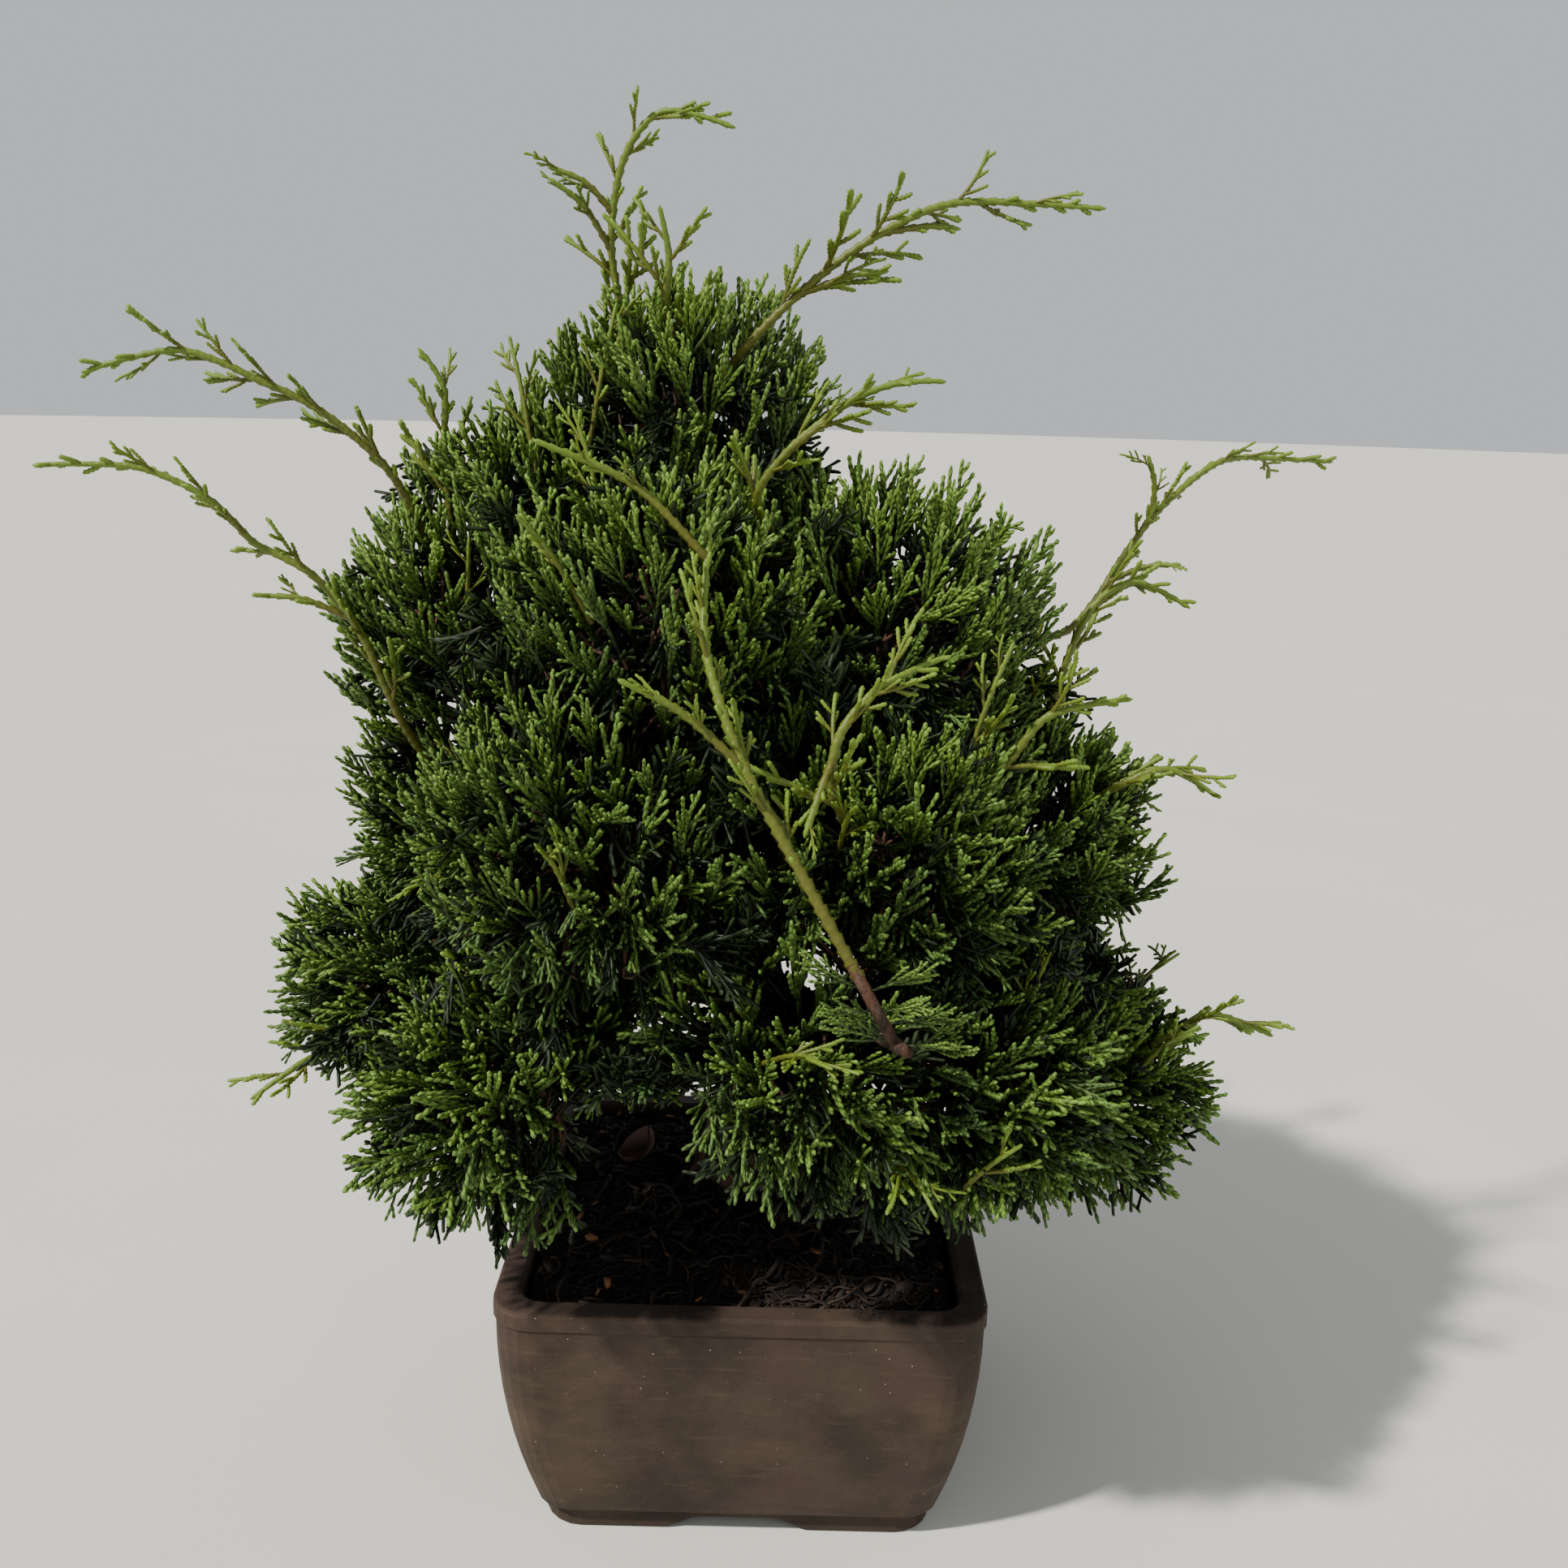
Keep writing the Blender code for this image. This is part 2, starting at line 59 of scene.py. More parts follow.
# The map has TONES strips side by side, and the joints of SCALES_ON_FINGER scale leaves run up it
TONES = 16
SCALES_ON_FINGER = 8


# ---------------------------------------------------------------- lines and tubes

def unit(vector):
    return vector / max(np.linalg.norm(vector), 1e-12)


def walked(points):
    """How far along a line each of its points lies."""
    steps = np.linalg.norm(np.diff(points, axis=0), axis=1)
    return np.concatenate(([0.0], np.cumsum(steps)))


def points_at(points, distances):
    """Points of a line at the distances along it."""
    along = walked(points)
    return np.stack([np.interp(distances, along, points[:, axis]) for axis in range(3)], axis=1)


def point_at(points, distance):
    return points_at(points, [distance])[0]


def smooth_line(points, step):
    """A Catmull-Rom curve through the points, with a point at each step along it."""
    points = np.asarray(points, float)
    padded = np.vstack((2 * points[0] - points[1], points, 2 * points[-1] - points[-2]))
    t = np.linspace(0, 1, 12, endpoint=False)[:, None]
    spans = []
    for a, b, c, d in zip(padded, padded[1:], padded[2:], padded[3:]):
        spans.append(0.5 * (2 * b + (c - a) * t + (2 * a - 5 * b + 4 * c - d) * t ** 2
                            + (3 * b - a - 3 * c + d) * t ** 3))
    curve = np.vstack(spans + [points[-1:]])
    length = walked(curve)[-1]
    return points_at(curve, np.linspace(0, length, max(3, round(length / step) + 1)))


def bent_line(start, heading, pull, length, step):
    """A shoot that leaves start along heading and turns steadily towards pull."""
    count = max(3, round(length / step) + 1)
    share = np.linspace(0, 1, count - 1)[:, None]
    turning = np.asarray(heading) * (1 - share) + (np.asarray(heading) + pull) * share
    turning /= np.linalg.norm(turning, axis=1)[:, None]
    return start + np.vstack((np.zeros(3), np.cumsum(turning * length / (count - 1), axis=0)))


def carried_frame(points):
    """The heading and two cross directions at each point, carried along without twisting."""
    ahead = np.gradient(points, axis=0)
    ahead /= np.linalg.norm(ahead, axis=1)[:, None]
    side = np.cross(ahead[0], (0.31, 0.17, 0.94) if abs(ahead[0][2]) < 0.9 else (0.1, 0.99, 0.0))
    across = []
    for heading in ahead:
        side = unit(side - heading * side.dot(heading))
        across.append(side)
    across = np.array(across)
    return ahead, across, np.cross(ahead, across)


class Growth:
    """Corners, four-sided faces and map places of one piece or one part of it."""

    def __init__(self, points, quads, tone, reach):
        self.points = points
        self.quads = quads
        self.tone = tone
        self.reach = reach


def ring_quads(rows, sides):
    """Faces between rings of points, and a flat end on the last ring."""
    first = np.arange(rows - 1)[:, None] * sides
    here = np.arange(sides)
    following = (here + 1) % sides
    walls = np.stack((first + here, first + following,
                      first + sides + following, first + sides + here), axis=-1)
    last = (rows - 1) * sides
    end = [(last + k, last + k + 1, last + sides - 2 - k, last + sides - 1 - k)
           for k in range(sides // 2 - 1)]
    return np.vstack((walls.reshape(-1, 4), np.reshape(end, (-1, 4)).astype(int)))


def grid_quads(rows, columns):
    """Faces between the points of a grid."""
    first = (np.arange(rows - 1)[:, None] * columns + np.arange(columns - 1)).reshape(-1)
    return np.stack((first, first + 1, first + columns + 1, first + columns), axis=1)


def strip_start(tone):
    """Where the map's strip for a tone from 0 to 1 begins."""
    return round(min(max(tone, 0.0), 1.0) * (TONES - 1)) / TONES


def ring_tones(sides):
    """Places across one strip for the points of a ring: out and back, so that no seam shows."""
    return (0.1 + 0.8 * np.abs(1 - 2 * np.arange(sides) / sides)) / TONES


def tube(points, radii, sides, tone, reach):
    """A tube round a line. radii has one row for each point, and one or sides columns."""
    _, across, other = carried_frame(points)
    turn = math.tau * np.arange(sides) / sides
    radii = np.broadcast_to(np.reshape(radii, (len(points), -1)), (len(points), sides))
    outward = (np.cos(turn)[None, :, None] * across[:, None, :]
               + np.sin(turn)[None, :, None] * other[:, None, :])
    rings = points[:, None, :] + radii[:, :, None] * outward
    tones = tone + np.broadcast_to(ring_tones(sides), (len(points), sides))
    reaches = np.broadcast_to(np.reshape(reach, (-1, 1)), (len(points), sides))
    return Growth(rings.reshape(-1, 3), ring_quads(len(points), sides),
                  tones.reshape(-1), reaches.reshape(-1))


def gathered(parts):
    """Several growths as one."""
    starts = np.cumsum([0] + [len(part.points) for part in parts[:-1]])
    return Growth(np.concatenate([part.points for part in parts]),
                  np.concatenate([part.quads + start for part, start in zip(parts, starts)]),
                  np.concatenate([part.tone for part in parts]),
                  np.concatenate([part.reach for part in parts]))


def make_piece(name, parts, look, replaces=()):
    """A mesh object of the parts, with their map, that rides with the tree and pot."""
    whole = gathered(parts)
    mesh = bpy.data.meshes.new(name)
    corners = whole.quads.reshape(-1)
    mesh.vertices.add(len(whole.points))
    mesh.vertices.foreach_set("co", whole.points.astype(np.float32).reshape(-1))
    mesh.loops.add(len(corners))
    mesh.loops.foreach_set("vertex_index", corners.astype(np.int32))
    mesh.polygons.add(len(whole.quads))
    mesh.polygons.foreach_set("loop_start", np.arange(0, len(corners), 4, dtype=np.int32))
    mesh.update(calc_edges=True)
    layer = mesh.uv_layers.new(name=MAP_NAME)
    places = np.stack((whole.tone[corners], whole.reach[corners]), axis=1)
    layer.uv.foreach_set("vector", np.clip(places, 0.0, 1.0).astype(np.float32).reshape(-1))
    mesh.shade_smooth()
    mesh.materials.append(look)
    piece = bpy.data.objects.new(name, mesh)
    bpy.context.scene.collection.objects.link(piece)
    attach(piece, "root")
    if replaces:
        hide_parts(*replaces)


# ---------------------------------------------------------------- reading the frame

def names_after(prefix):
    """What follows the prefix in the name of each CAD node that starts with it, in order."""
    return sorted(name[len(prefix):] for name in NODES if name.startswith(prefix))


def cad_surface(name):
    """A CAD node's corners and triangles."""
    mesh = NODES[name].data
    mesh.calc_loop_triangles()
    points = np.empty(len(mesh.vertices) * 3)
    mesh.vertices.foreach_get("co", points)
    triangles = np.empty(len(mesh.loop_triangles) * 3, dtype=np.int32)
    mesh.loop_triangles.foreach_get("vertices", triangles)
    return points.reshape(-1, 3), triangles.reshape(-1, 3)


def cad_tree(names):
    """One search tree over the surfaces of several CAD nodes."""
    points = []
    triangles = []
    for name in names:
        own_points, own_triangles = cad_surface(name)
        triangles.append(own_triangles + sum(len(block) for block in points))
        points.append(own_points)
    return BVHTree.FromPolygons(np.vstack(points).tolist(), np.vstack(triangles).tolist())


def ring_line(name, reach, away_from=None, clearance=0.0):
    """The middles and radii of a CAD tube's rings, from its thick end to its thin end.

    Corners closer than reach belong to one ring. Corners near the line away_from are left out.
    """
    points = np.unique(np.round(cad_surface(name)[0], 6), axis=0)
    if away_from is not None:
        apart = np.linalg.norm(points[:, None, :] - away_from[None, :, :], axis=2).min(axis=1)
        points = points[apart > clearance]
    rings = []
    left = list(range(len(points)))
    while left:
        ring = [left.pop()]
        for member in ring:
            near = [i for i in left if np.linalg.norm(points[i] - points[member]) < reach]
            ring += near
            left = [i for i in left if i not in near]
        rings.append(points[ring])
    rings = [ring for ring in rings if len(ring) >= 5]
    middles = [ring.mean(axis=0) for ring in rings]
    radii = [np.linalg.norm(ring - middle, axis=1).mean() for ring, middle in zip(rings, middles)]
    order = [int(np.argmax(radii))]
    while len(order) < len(rings):
        rest = [i for i in range(len(rings)) if i not in order]
        order.append(min(rest, key=lambda i: np.linalg.norm(middles[i] - middles[order[-1]])))
    return np.array([middles[i] for i in order]), np.array([radii[i] for i in order])


def trunk_line():
    """The middle of the trunk at each level of its CAD rings, from the foot up."""
    points = cad_surface("trunk")[0]
    levels = sorted(set(np.round(points[:, 2], 4)))
    middles = [points[np.abs(points[:, 2] - level) < 2e-4].mean(axis=0) for level in levels]
    return np.array(middles)


# ---------------------------------------------------------------- shader groups

# Where the share and the two colours stand among a mix node's inputs, and the mixed colour after it
MIX_INPUTS = (0, 6, 7)
MIX_OUTPUT = 2


def link(tree, source, target):
    tree.links.new(source, target)


def add_node(tree, kind, **settings):
    node = tree.nodes.new(kind)
    for key, value in settings.items():
        setattr(node, key, value)
    return node


def start_group(name, inputs, outputs):
    """A shader group. inputs is (name, kind, value) rows, and outputs is (name, kind) rows."""
    group = bpy.data.node_groups.new(name, "ShaderNodeTree")
    for label, kind, value in inputs:
        socket = group.interface.new_socket(label, in_out="INPUT", socket_type="NodeSocket" + kind)
        socket.default_value = value
    for label, kind in outputs:
        group.interface.new_socket(label, in_out="OUTPUT", socket_type="NodeSocket" + kind)
    return group, group.nodes.new("NodeGroupInput"), group.nodes.new("NodeGroupOutput")


def feed(tree, sockets, values):
    """Gives each socket its value, which is another node's output or a plain value."""
    for socket, value in zip(sockets, values):
        if isinstance(value, bpy.types.NodeSocket):
            link(tree, value, socket)
        else:
            socket.default_value = value


def mix_colours(tree, share, first, second, blend="MIX"):
    """A colour mix. Each of the three is a socket or a plain value."""
    node = add_node(tree, "ShaderNodeMix", data_type="RGBA", blend_type=blend)
    feed(tree, [node.inputs[place] for place in MIX_INPUTS], (share, first, second))
    return node.outputs[MIX_OUTPUT]


def fitted(tree, value, low, high, new_low=0.0, new_high=1.0):
    """A value moved from one range to another, and held inside it."""
    node = add_node(tree, "ShaderNodeMapRange", interpolation_type="SMOOTHSTEP")
    labels = ("Value", "From Min", "From Max", "To Min", "To Max")
    feed(tree, [node.inputs[label] for label in labels], (value, low, high, new_low, new_high))
    return node.outputs["Result"]


def worked_out(tree, operation, first, second=0.0):
    """The result of a sum, a product or the like."""
    node = add_node(tree, "ShaderNodeMath", operation=operation)
    feed(tree, node.inputs, (first, second))
    return node.outputs[0]


def cloud(tree, where, scale, detail=4.0, roughness=0.55, stretch=(1, 1, 1)):
    """Noise at a scale per metre, squeezed along the axes by stretch."""
    placed = where
    if stretch != (1, 1, 1):
        mapping = add_node(tree, "ShaderNodeMapping")
        mapping.inputs["Scale"].default_value = stretch
        link(tree, where, mapping.inputs["Vector"])
        placed = mapping.outputs[0]
    node = add_node(tree, "ShaderNodeTexNoise")
    labels = ("Vector", "Scale", "Detail", "Roughness")
    feed(tree, [node.inputs[label] for label in labels], (placed, scale, detail, roughness))
    return node.outputs["Fac"]


def object_place(tree):
    return add_node(tree, "ShaderNodeTexCoord").outputs["Object"]


def build_growth_group():
    """Colour of leafy growth: old to young by its tone, dark foot to bright tip by its reach.

    The input for creases paints shade into the joints between the overlapping scale leaves,
    which run round in a braid.
    """
    group, given, out = start_group(
        "growth_colour",
        [("Old foot", "Color", (0.01, 0.02, 0.01, 1)), ("Old tip", "Color", (0.1, 0.15, 0.1, 1)),
         ("Young foot", "Color", (0.05, 0.1, 0.02, 1)), ("Young tip", "Color", (0.3, 0.4, 0.1, 1)),
         ("Crease", "Float", 0.5)],
        [("Color", "Color"), ("Scales", "Float")])
    place = add_node(group, "ShaderNodeUVMap", uv_map=MAP_NAME)
    split = add_node(group, "ShaderNodeSeparateXYZ")
    link(group, place.outputs[0], split.inputs[0])
    # The foot is darker than the tip partly as older growth and partly as painted shade of the
    # crown's depth
    ripening_and_depth_shade = fitted(group, split.outputs["Y"], 0.05, 1.0)
    old = mix_colours(group, ripening_and_depth_shade, given.outputs["Old foot"], given.outputs["Old tip"])
    young = mix_colours(group, ripening_and_depth_shade, given.outputs["Young foot"], given.outputs["Young tip"])
    whole = mix_colours(group, split.outputs["X"], old, young)
    around = worked_out(group, "FRACT", worked_out(group, "MULTIPLY", split.outputs["X"], TONES))
    along = worked_out(group, "MULTIPLY", split.outputs["Y"], SCALES_ON_FINGER)
    braid = worked_out(group, "FRACT", worked_out(group, "ADD", along, around))
    scales = fitted(group, braid, 0.0, 0.5)
    # Painted shade in the joints between the scale leaves
    with_painted_crease_shade = mix_colours(group, 1.0, whole, scales, "MULTIPLY")
    colour = mix_colours(group, given.outputs["Crease"], whole, with_painted_crease_shade)
    link(group, colour, out.inputs["Color"])
    link(group, scales, out.inputs["Scales"])
    return group


def build_grain_group():
    """Fine mottling that unglazed clay, bark and soil share: a mask and a height."""
    group, given, out = start_group(
        "mottled_grain",
        [("Vector", "Vector", (0, 0, 0)), ("Blotch scale", "Float", 30.0),
         ("Grain scale", "Float", 900.0)],
        [("Blotches", "Float"), ("Grain", "Float")])
    for label, mask, detail in (("Blotch scale", "Blotches", 5.0), ("Grain scale", "Grain", 3.0)):
        noisy = cloud(group, given.outputs["Vector"], given.outputs[label], detail, 0.6)
        link(group, noisy, out.inputs[mask])
    return group


GROWTH_GROUP = build_growth_group()
GRAIN_GROUP = build_grain_group()


# ---------------------------------------------------------------- materials

def start_material(name, roughness, specular):
    """A material, its nodes and its shader."""
    look = bpy.data.materials.new(name)
    look.use_nodes = True
    tree = look.node_tree
    shader = tree.nodes["Principled BSDF"]
    shader.inputs["Roughness"].default_value = roughness
    shader.inputs["Specular IOR Level"].default_value = specular
    return look, tree, shader


def place_group(tree, group, **values):
    """A group in a material, with its own values. An underscore stands for a space."""
    node = add_node(tree, "ShaderNodeGroup", node_tree=group)
    feed(tree, [node.inputs[label.replace("_", " ")] for label in values], values.values())
    return node


def stained(tree, base, mask, low, high, share, colour):
    """base with a colour over it where the mask is high, up to a share."""
    return mix_colours(tree, fitted(tree, mask, low, high, 0.0, share), base, (*colour, 1))


def raise_surface(tree, shader, height, depth, strength):
    """Fine relief on a material, depth metres high."""
    bump = add_node(tree, "ShaderNodeBump")
    labels = ("Height", "Distance", "Strength")
    feed(tree, [bump.inputs[label] for label in labels], (height, depth, strength))
    link(tree, bump.outputs["Normal"], shader.inputs["Normal"])


def leafy_material(name, roughness, old_foot, old_tip, young_foot, young_tip, crease_shade_and_relief=0.0):
    """Growth or litter coloured by its map.

    The share of painted shade in the joints between scale leaves comes last; any share also
    gives them a bump.
    """
    look, tree, shader = start_material(name, roughness, 0.25)
    colour = place_group(tree, GROWTH_GROUP, Old_foot=(*old_foot, 1), Old_tip=(*old_tip, 1),
                         Young_foot=(*young_foot, 1), Young_tip=(*young_tip, 1), Crease=crease_shade_and_relief)
    link(tree, colour.outputs["Color"], shader.inputs["Base Color"])
    if crease_shade_and_relief > 0:
        raise_surface(tree, shader, colour.outputs["Scales"], 0.35 * MM, 0.7)
    return look


def start_grainy(name, roughness, specular, blotch_scale, grain_scale):
    """A material with mottled grain, and its nodes, its shader, place, blotches and grain."""
    look, tree, shader = start_material(name, roughness, specular)
    where = object_place(tree)
    mottled = place_group(tree, GRAIN_GROUP, Vector=where, Blotch_scale=blotch_scale,
                          Grain_scale=grain_scale)
    return look, tree, shader, where, mottled.outputs["Blotches"], mottled.outputs["Grain"]


def clay_material():
    """Unglazed brown clay with mauve and ochre clouds, wiping marks and white specks, darker at the
    bottom.
    """
    look, tree, shader, where, blotches, grain = start_grainy(
        "clay_unglazed", 0.82, 0.35, 26.0, 2400.0)
    clouds = fitted(tree, blotches, 0.36, 0.66)
    base = mix_colours(tree, clouds, (0.018, 0.0105, 0.0062, 1), (0.042, 0.0255, 0.0155, 1))
    mauve = cloud(tree, where, 34.0, 4.0)
    base = stained(tree, base, mauve, 0.46, 0.66, 0.75, (0.041, 0.0205, 0.0175))
    ochre = cloud(tree, where, 21.0, 5.0, 0.6, (1.0, 1.0, 1.7))
    base = stained(tree, base, ochre, 0.50, 0.72, 0.6, (0.072, 0.046, 0.024))
    wiped = cloud(tree, where, 60.0, 5.0, 0.62, (1, 1, 6))
    base = stained(tree, base, wiped, 0.52, 0.76, 0.5, (0.084, 0.057, 0.037))
    fine = fitted(tree, grain, 0.25, 0.75)
    sandy = mix_colours(tree, fine, (0.014, 0.0075, 0.0045, 1), (0.078, 0.052, 0.035, 1))
    base = mix_colours(tree, 0.28, base, sandy)
    split = add_node(tree, "ShaderNodeSeparateXYZ")
    link(tree, where, split.inputs[0])
    # Darker towards the bottom, over the lowest 22 mm
    darker_towards_bottom = fitted(tree, split.outputs["Z"], 0.000, 0.022, 0.4, 0.0)
    base = mix_colours(tree, darker_towards_bottom, base, (0.022, 0.0140, 0.0090, 1))
    specks = add_node(tree, "ShaderNodeTexVoronoi")
    feed(tree, (specks.inputs["Vector"], specks.inputs["Scale"]), (where, 240.0))
    chosen = fitted(tree, specks.outputs["Color"], 0.62, 0.66)
    small = fitted(tree, specks.outputs["Distance"], 0.045, 0.075, 0.8, 0.0)
    dots = worked_out(tree, "MULTIPLY", chosen, small)
    base = mix_colours(tree, dots, base, (0.34, 0.31, 0.27, 1))
    link(tree, base, shader.inputs["Base Color"])
    dull = fitted(tree, blotches, 0.3, 0.7, 0.88, 0.72)
    link(tree, dull, shader.inputs["Roughness"])
    sand = worked_out(tree, "MULTIPLY", grain, 0.35)
    height = worked_out(tree, "ADD", sand, cloud(tree, where, 190.0, 3.0))
    raise_surface(tree, shader, height, 0.7 * MM, 0.6)
    return look


def bark_material(name, dark, red, pale, scale):
    """Flaking bark: dark cracks, red-brown plates and grey worn faces, drawn out along the stem."""
    look, tree, shader, where, blotches, grain = start_grainy(
        name, 0.88, 0.25, 70.0 * scale, 1700.0)
    plates = cloud(tree, where, 230.0 * scale, 5.0, 0.62, (1, 1, 0.26))
    base = mix_colours(tree, fitted(tree, plates, 0.38, 0.55), (*dark, 1), (*red, 1))
    base = stained(tree, base, blotches, 0.50, 0.70, 0.7, pale)
    fine = fitted(tree, grain, 0.3, 0.7, 0.55, 1.15)
    base = mix_colours(tree, 0.6, base, mix_colours(tree, 1.0, base, fine, "MULTIPLY"))
    link(tree, base, shader.inputs["Base Color"])
    roughening = worked_out(tree, "MULTIPLY", grain, 0.3)
    raise_surface(tree, shader, worked_out(tree, "ADD", plates, roughening), 1.6 * MM, 0.9)
    return look


def soil_material():
    """Dark, moist bark compost."""
    look, tree, shader, _, blotches, grain = start_grainy("soil_dark", 0.92, 0.25, 160.0, 1100.0)
    base = mix_colours(tree, fitted(tree, blotches, 0.35, 0.68),
                       (0.0045, 0.0030, 0.0022, 1), (0.0220, 0.0135, 0.0090, 1))
    base = stained(tree, base, grain, 0.58, 0.76, 0.6, (0.052, 0.032, 0.020))
    link(tree, base, shader.inputs["Base Color"])
    height = worked_out(tree, "ADD", blotches, grain)
    raise_surface(tree, shader, height, 1.2 * MM, 0.9)
    return look


def plastic_material():
    """The black net over the drain hole, scuffed and dusty."""
    look, tree, shader, _, blotches, grain = start_grainy("net_black", 0.5, 0.5, 120.0, 1500.0)
    dust = fitted(tree, blotches, 0.45, 0.7, 0.0, 0.6)
    link(tree, mix_colours(tree, dust, (0.018, 0.018, 0.018, 1), (0.10, 0.085, 0.07, 1)),
         shader.inputs["Base Color"])
    dull = fitted(tree, grain, 0.3, 0.7, 0.42, 0.7)
    link(tree, dull, shader.inputs["Roughness"])
    return look


def floor_material():
    """The pale studio floor, with faint clouds."""
    look, tree, shader = start_material("floor_pale", 0.7, 0.3)
    where = object_place(tree)
    tone = fitted(tree, cloud(tree, where, 3.0, 3.0), 0.3, 0.7)
    link(tree, mix_colours(tree, tone, (0.56, 0.55, 0.50, 1), (0.59, 0.58, 0.53, 1)),
         shader.inputs["Base Color"])
    return look


# ---------------------------------------------------------------- leafy growth

FINGER_RADIUS = 0.76 * MM
FINGER_STEP = 1.25 * MM
FRESH_RADIUS = 0.78 * MM
FRESH_STEP = 0.85 * MM
FRESH_SIDES = 6

# How many radii before a finger's end its last two rings lie, which make its tip round
TIP_SHARES = (1.2, 0.2)

# A finger at least this long may fork
FORKING_LENGTH = 7.5 * MM


def finger(line, radius, sides, step, tone=0.0, foot=0.0, top=1.0, plain=0.0):
    """A finger of scale leaves that stand out in turn, with a round tip.

    The first share of it, plain, is hidden in the crown and has fewer rings.
    """
    length = walked(line)[-1]
    ends = [length - radius * share for share in TIP_SHARES]
    spots = np.arange(plain * length, max(step, ends[0] - 0.4 * step), step)
    hidden = np.arange(0, plain * length - step, 4 * step)
    spots = np.concatenate((hidden, spots, ends))
    points = points_at(line, spots)
    back = (length - spots) / (TIP_SHARES[0] * radius)
    rounding = np.sqrt(np.clip(1 - np.clip(1 - back, 0, 1) ** 2, 0.03, 1))
    narrow = np.clip(0.72 + 0.28 * spots / (3 * MM), 0.72, 1.0)
    rows = np.arange(len(spots))[:, None]
    scales = 1 + 0.19 * (-1.0) ** (rows + np.arange(sides)[None, :])
    radii = (radius * rounding * narrow)[:, None] * scales
    return tube(points, radii, sides, tone, foot + (top - foot) * spots / length)


def turned(heading, across, angle, lean=0.0):
    """heading turned by an angle towards across, and out of their plane by lean."""
    normal = np.cross(heading, across)
    return unit(heading * math.cos(angle) + across * math.sin(angle) + normal * lean)


def grow_spray(rng, length, fingers, finger_length, radius, sides, step, opening, bend,
               forks=(0, 1), first=0.28, rising=0.45):
    """A fan of fingers on an axis, with its foot at the origin and its tip up +Z.

    opening is the range of angles in degrees at which fingers leave the axis. The lowest one
    leaves at the share first of its length. rising is how much the fingers turn back towards the
    axis, and forks is how many small ones each may carry.
    """
    wander = np.array((rng.uniform(-bend, bend), rng.uniform(-bend, bend), 0.0))
    axis = bent_line(np.zeros(3), (0, 0, 1.0), wander, length, step)
    parts = [finger(axis, radius, sides, step, foot=0.0, plain=first * 0.9)]
    side = rng.choice((-1, 1))
    for i in range(fingers):
        share = first + (0.93 - first) * (i + rng.uniform(0.0, 0.5)) / fingers
        start = point_at(axis, share * length)
        own = finger_length * (1.05 - 0.55 * share) * rng.uniform(0.75, 1.15)
        across = np.array((side, 0.0, 0.0))
        angle = math.radians(rng.uniform(*opening))
        heading = turned(UP, across, angle, rng.gauss(0, 0.22))
        line = bent_line(start, heading, UP * rising, own, step)
        # Fingers low on the spray start and end darker: older growth, and painted shade deeper in
        # the crown
        depth = 0.55 * share
        parts.append(finger(line, radius * rng.uniform(0.86, 1.0), sides, step,
                            foot=depth * 0.8, top=0.70 + 0.3 * share))
        if own > FORKING_LENGTH:
            for _ in range(rng.choice(forks)):
                fork = point_at(line, rng.uniform(0.3, 0.62) * own)
                angle = rng.choice((-1, 1)) * math.radians(rng.uniform(28, 42))
                swing = turned(heading, across, angle, rng.gauss(0, 0.3))
                small = bent_line(fork, swing, heading * 0.4, own * rng.uniform(0.34, 0.52), step)
                parts.append(finger(small, radius * 0.9, sides, step,
                                    foot=depth + 0.2, top=0.68 + 0.3 * share))
        side = -side
    return gathered(parts)


def set_out(spray, foot, heading, roll, scale, sag, tone, shade=1.0):
    """A copy of a spray with its foot at a place, laid along heading. sag bends it up or down."""
    aside = unit(np.cross(heading, (0.13, 0.21, 0.97) if abs(heading[2]) < 0.95 else (1.0, 0, 0)))
    other = np.cross(heading, aside)
    across = aside * math.cos(roll) + other * math.sin(roll)
    axes = np.stack((across, np.cross(heading, across), heading))
    points = (spray.points * scale) @ axes + foot
    points[:, 2] += sag * (spray.points[:, 2] * scale) ** 2
    return Growth(points, spray.quads, spray.tone + strip_start(tone), spray.reach * shade)


def spray_library(seed):
    """Spray shapes by kind.

    close covers the crown, long its lower skirt, hanging its underside and inner its depths.
    fresh grows on the long shoots.
    """
    rng = random.Random(seed)
    library = {"close": [], "long": [], "hanging": [], "inner": [], "fresh": []}
    for _ in range(12):
        library["close"].append(grow_spray(
            rng, rng.uniform(27, 33) * MM, rng.choice((8, 9, 10)), 17.5 * MM, FINGER_RADIUS,
            4, FINGER_STEP, (18, 36), 0.3, rising=0.8))
    for _ in range(10):
        library["long"].append(grow_spray(
            rng, rng.uniform(34, 44) * MM, rng.choice((6, 7, 8)), 22 * MM, 0.88 * MM,
            4, 1.35 * MM, (22, 46), 0.5, first=0.32, rising=0.6))
        library["hanging"].append(grow_spray(
            rng, rng.uniform(30, 42) * MM, rng.choice((5, 6, 7)), 19 * MM, 0.64 * MM,
            4, 1.5 * MM, (14, 36), 0.6, first=0.30))
    for _ in range(6):
        library["inner"].append(grow_spray(
            rng, rng.uniform(26, 34) * MM, 8, 15 * MM, 0.85 * MM,
            3, 7.0 * MM, (28, 55), 0.5, forks=(0,)))
    for _ in range(12):
        library["fresh"].append(grow_spray(
            rng, rng.uniform(21, 29) * MM, rng.choice((4, 5, 5, 6)), 10.5 * MM, FRESH_RADIUS,
            FRESH_SIDES, FRESH_STEP, (24, 40), 0.5, forks=(0, 1, 1), first=0.16))
    return library


# ---------------------------------------------------------------- the crown

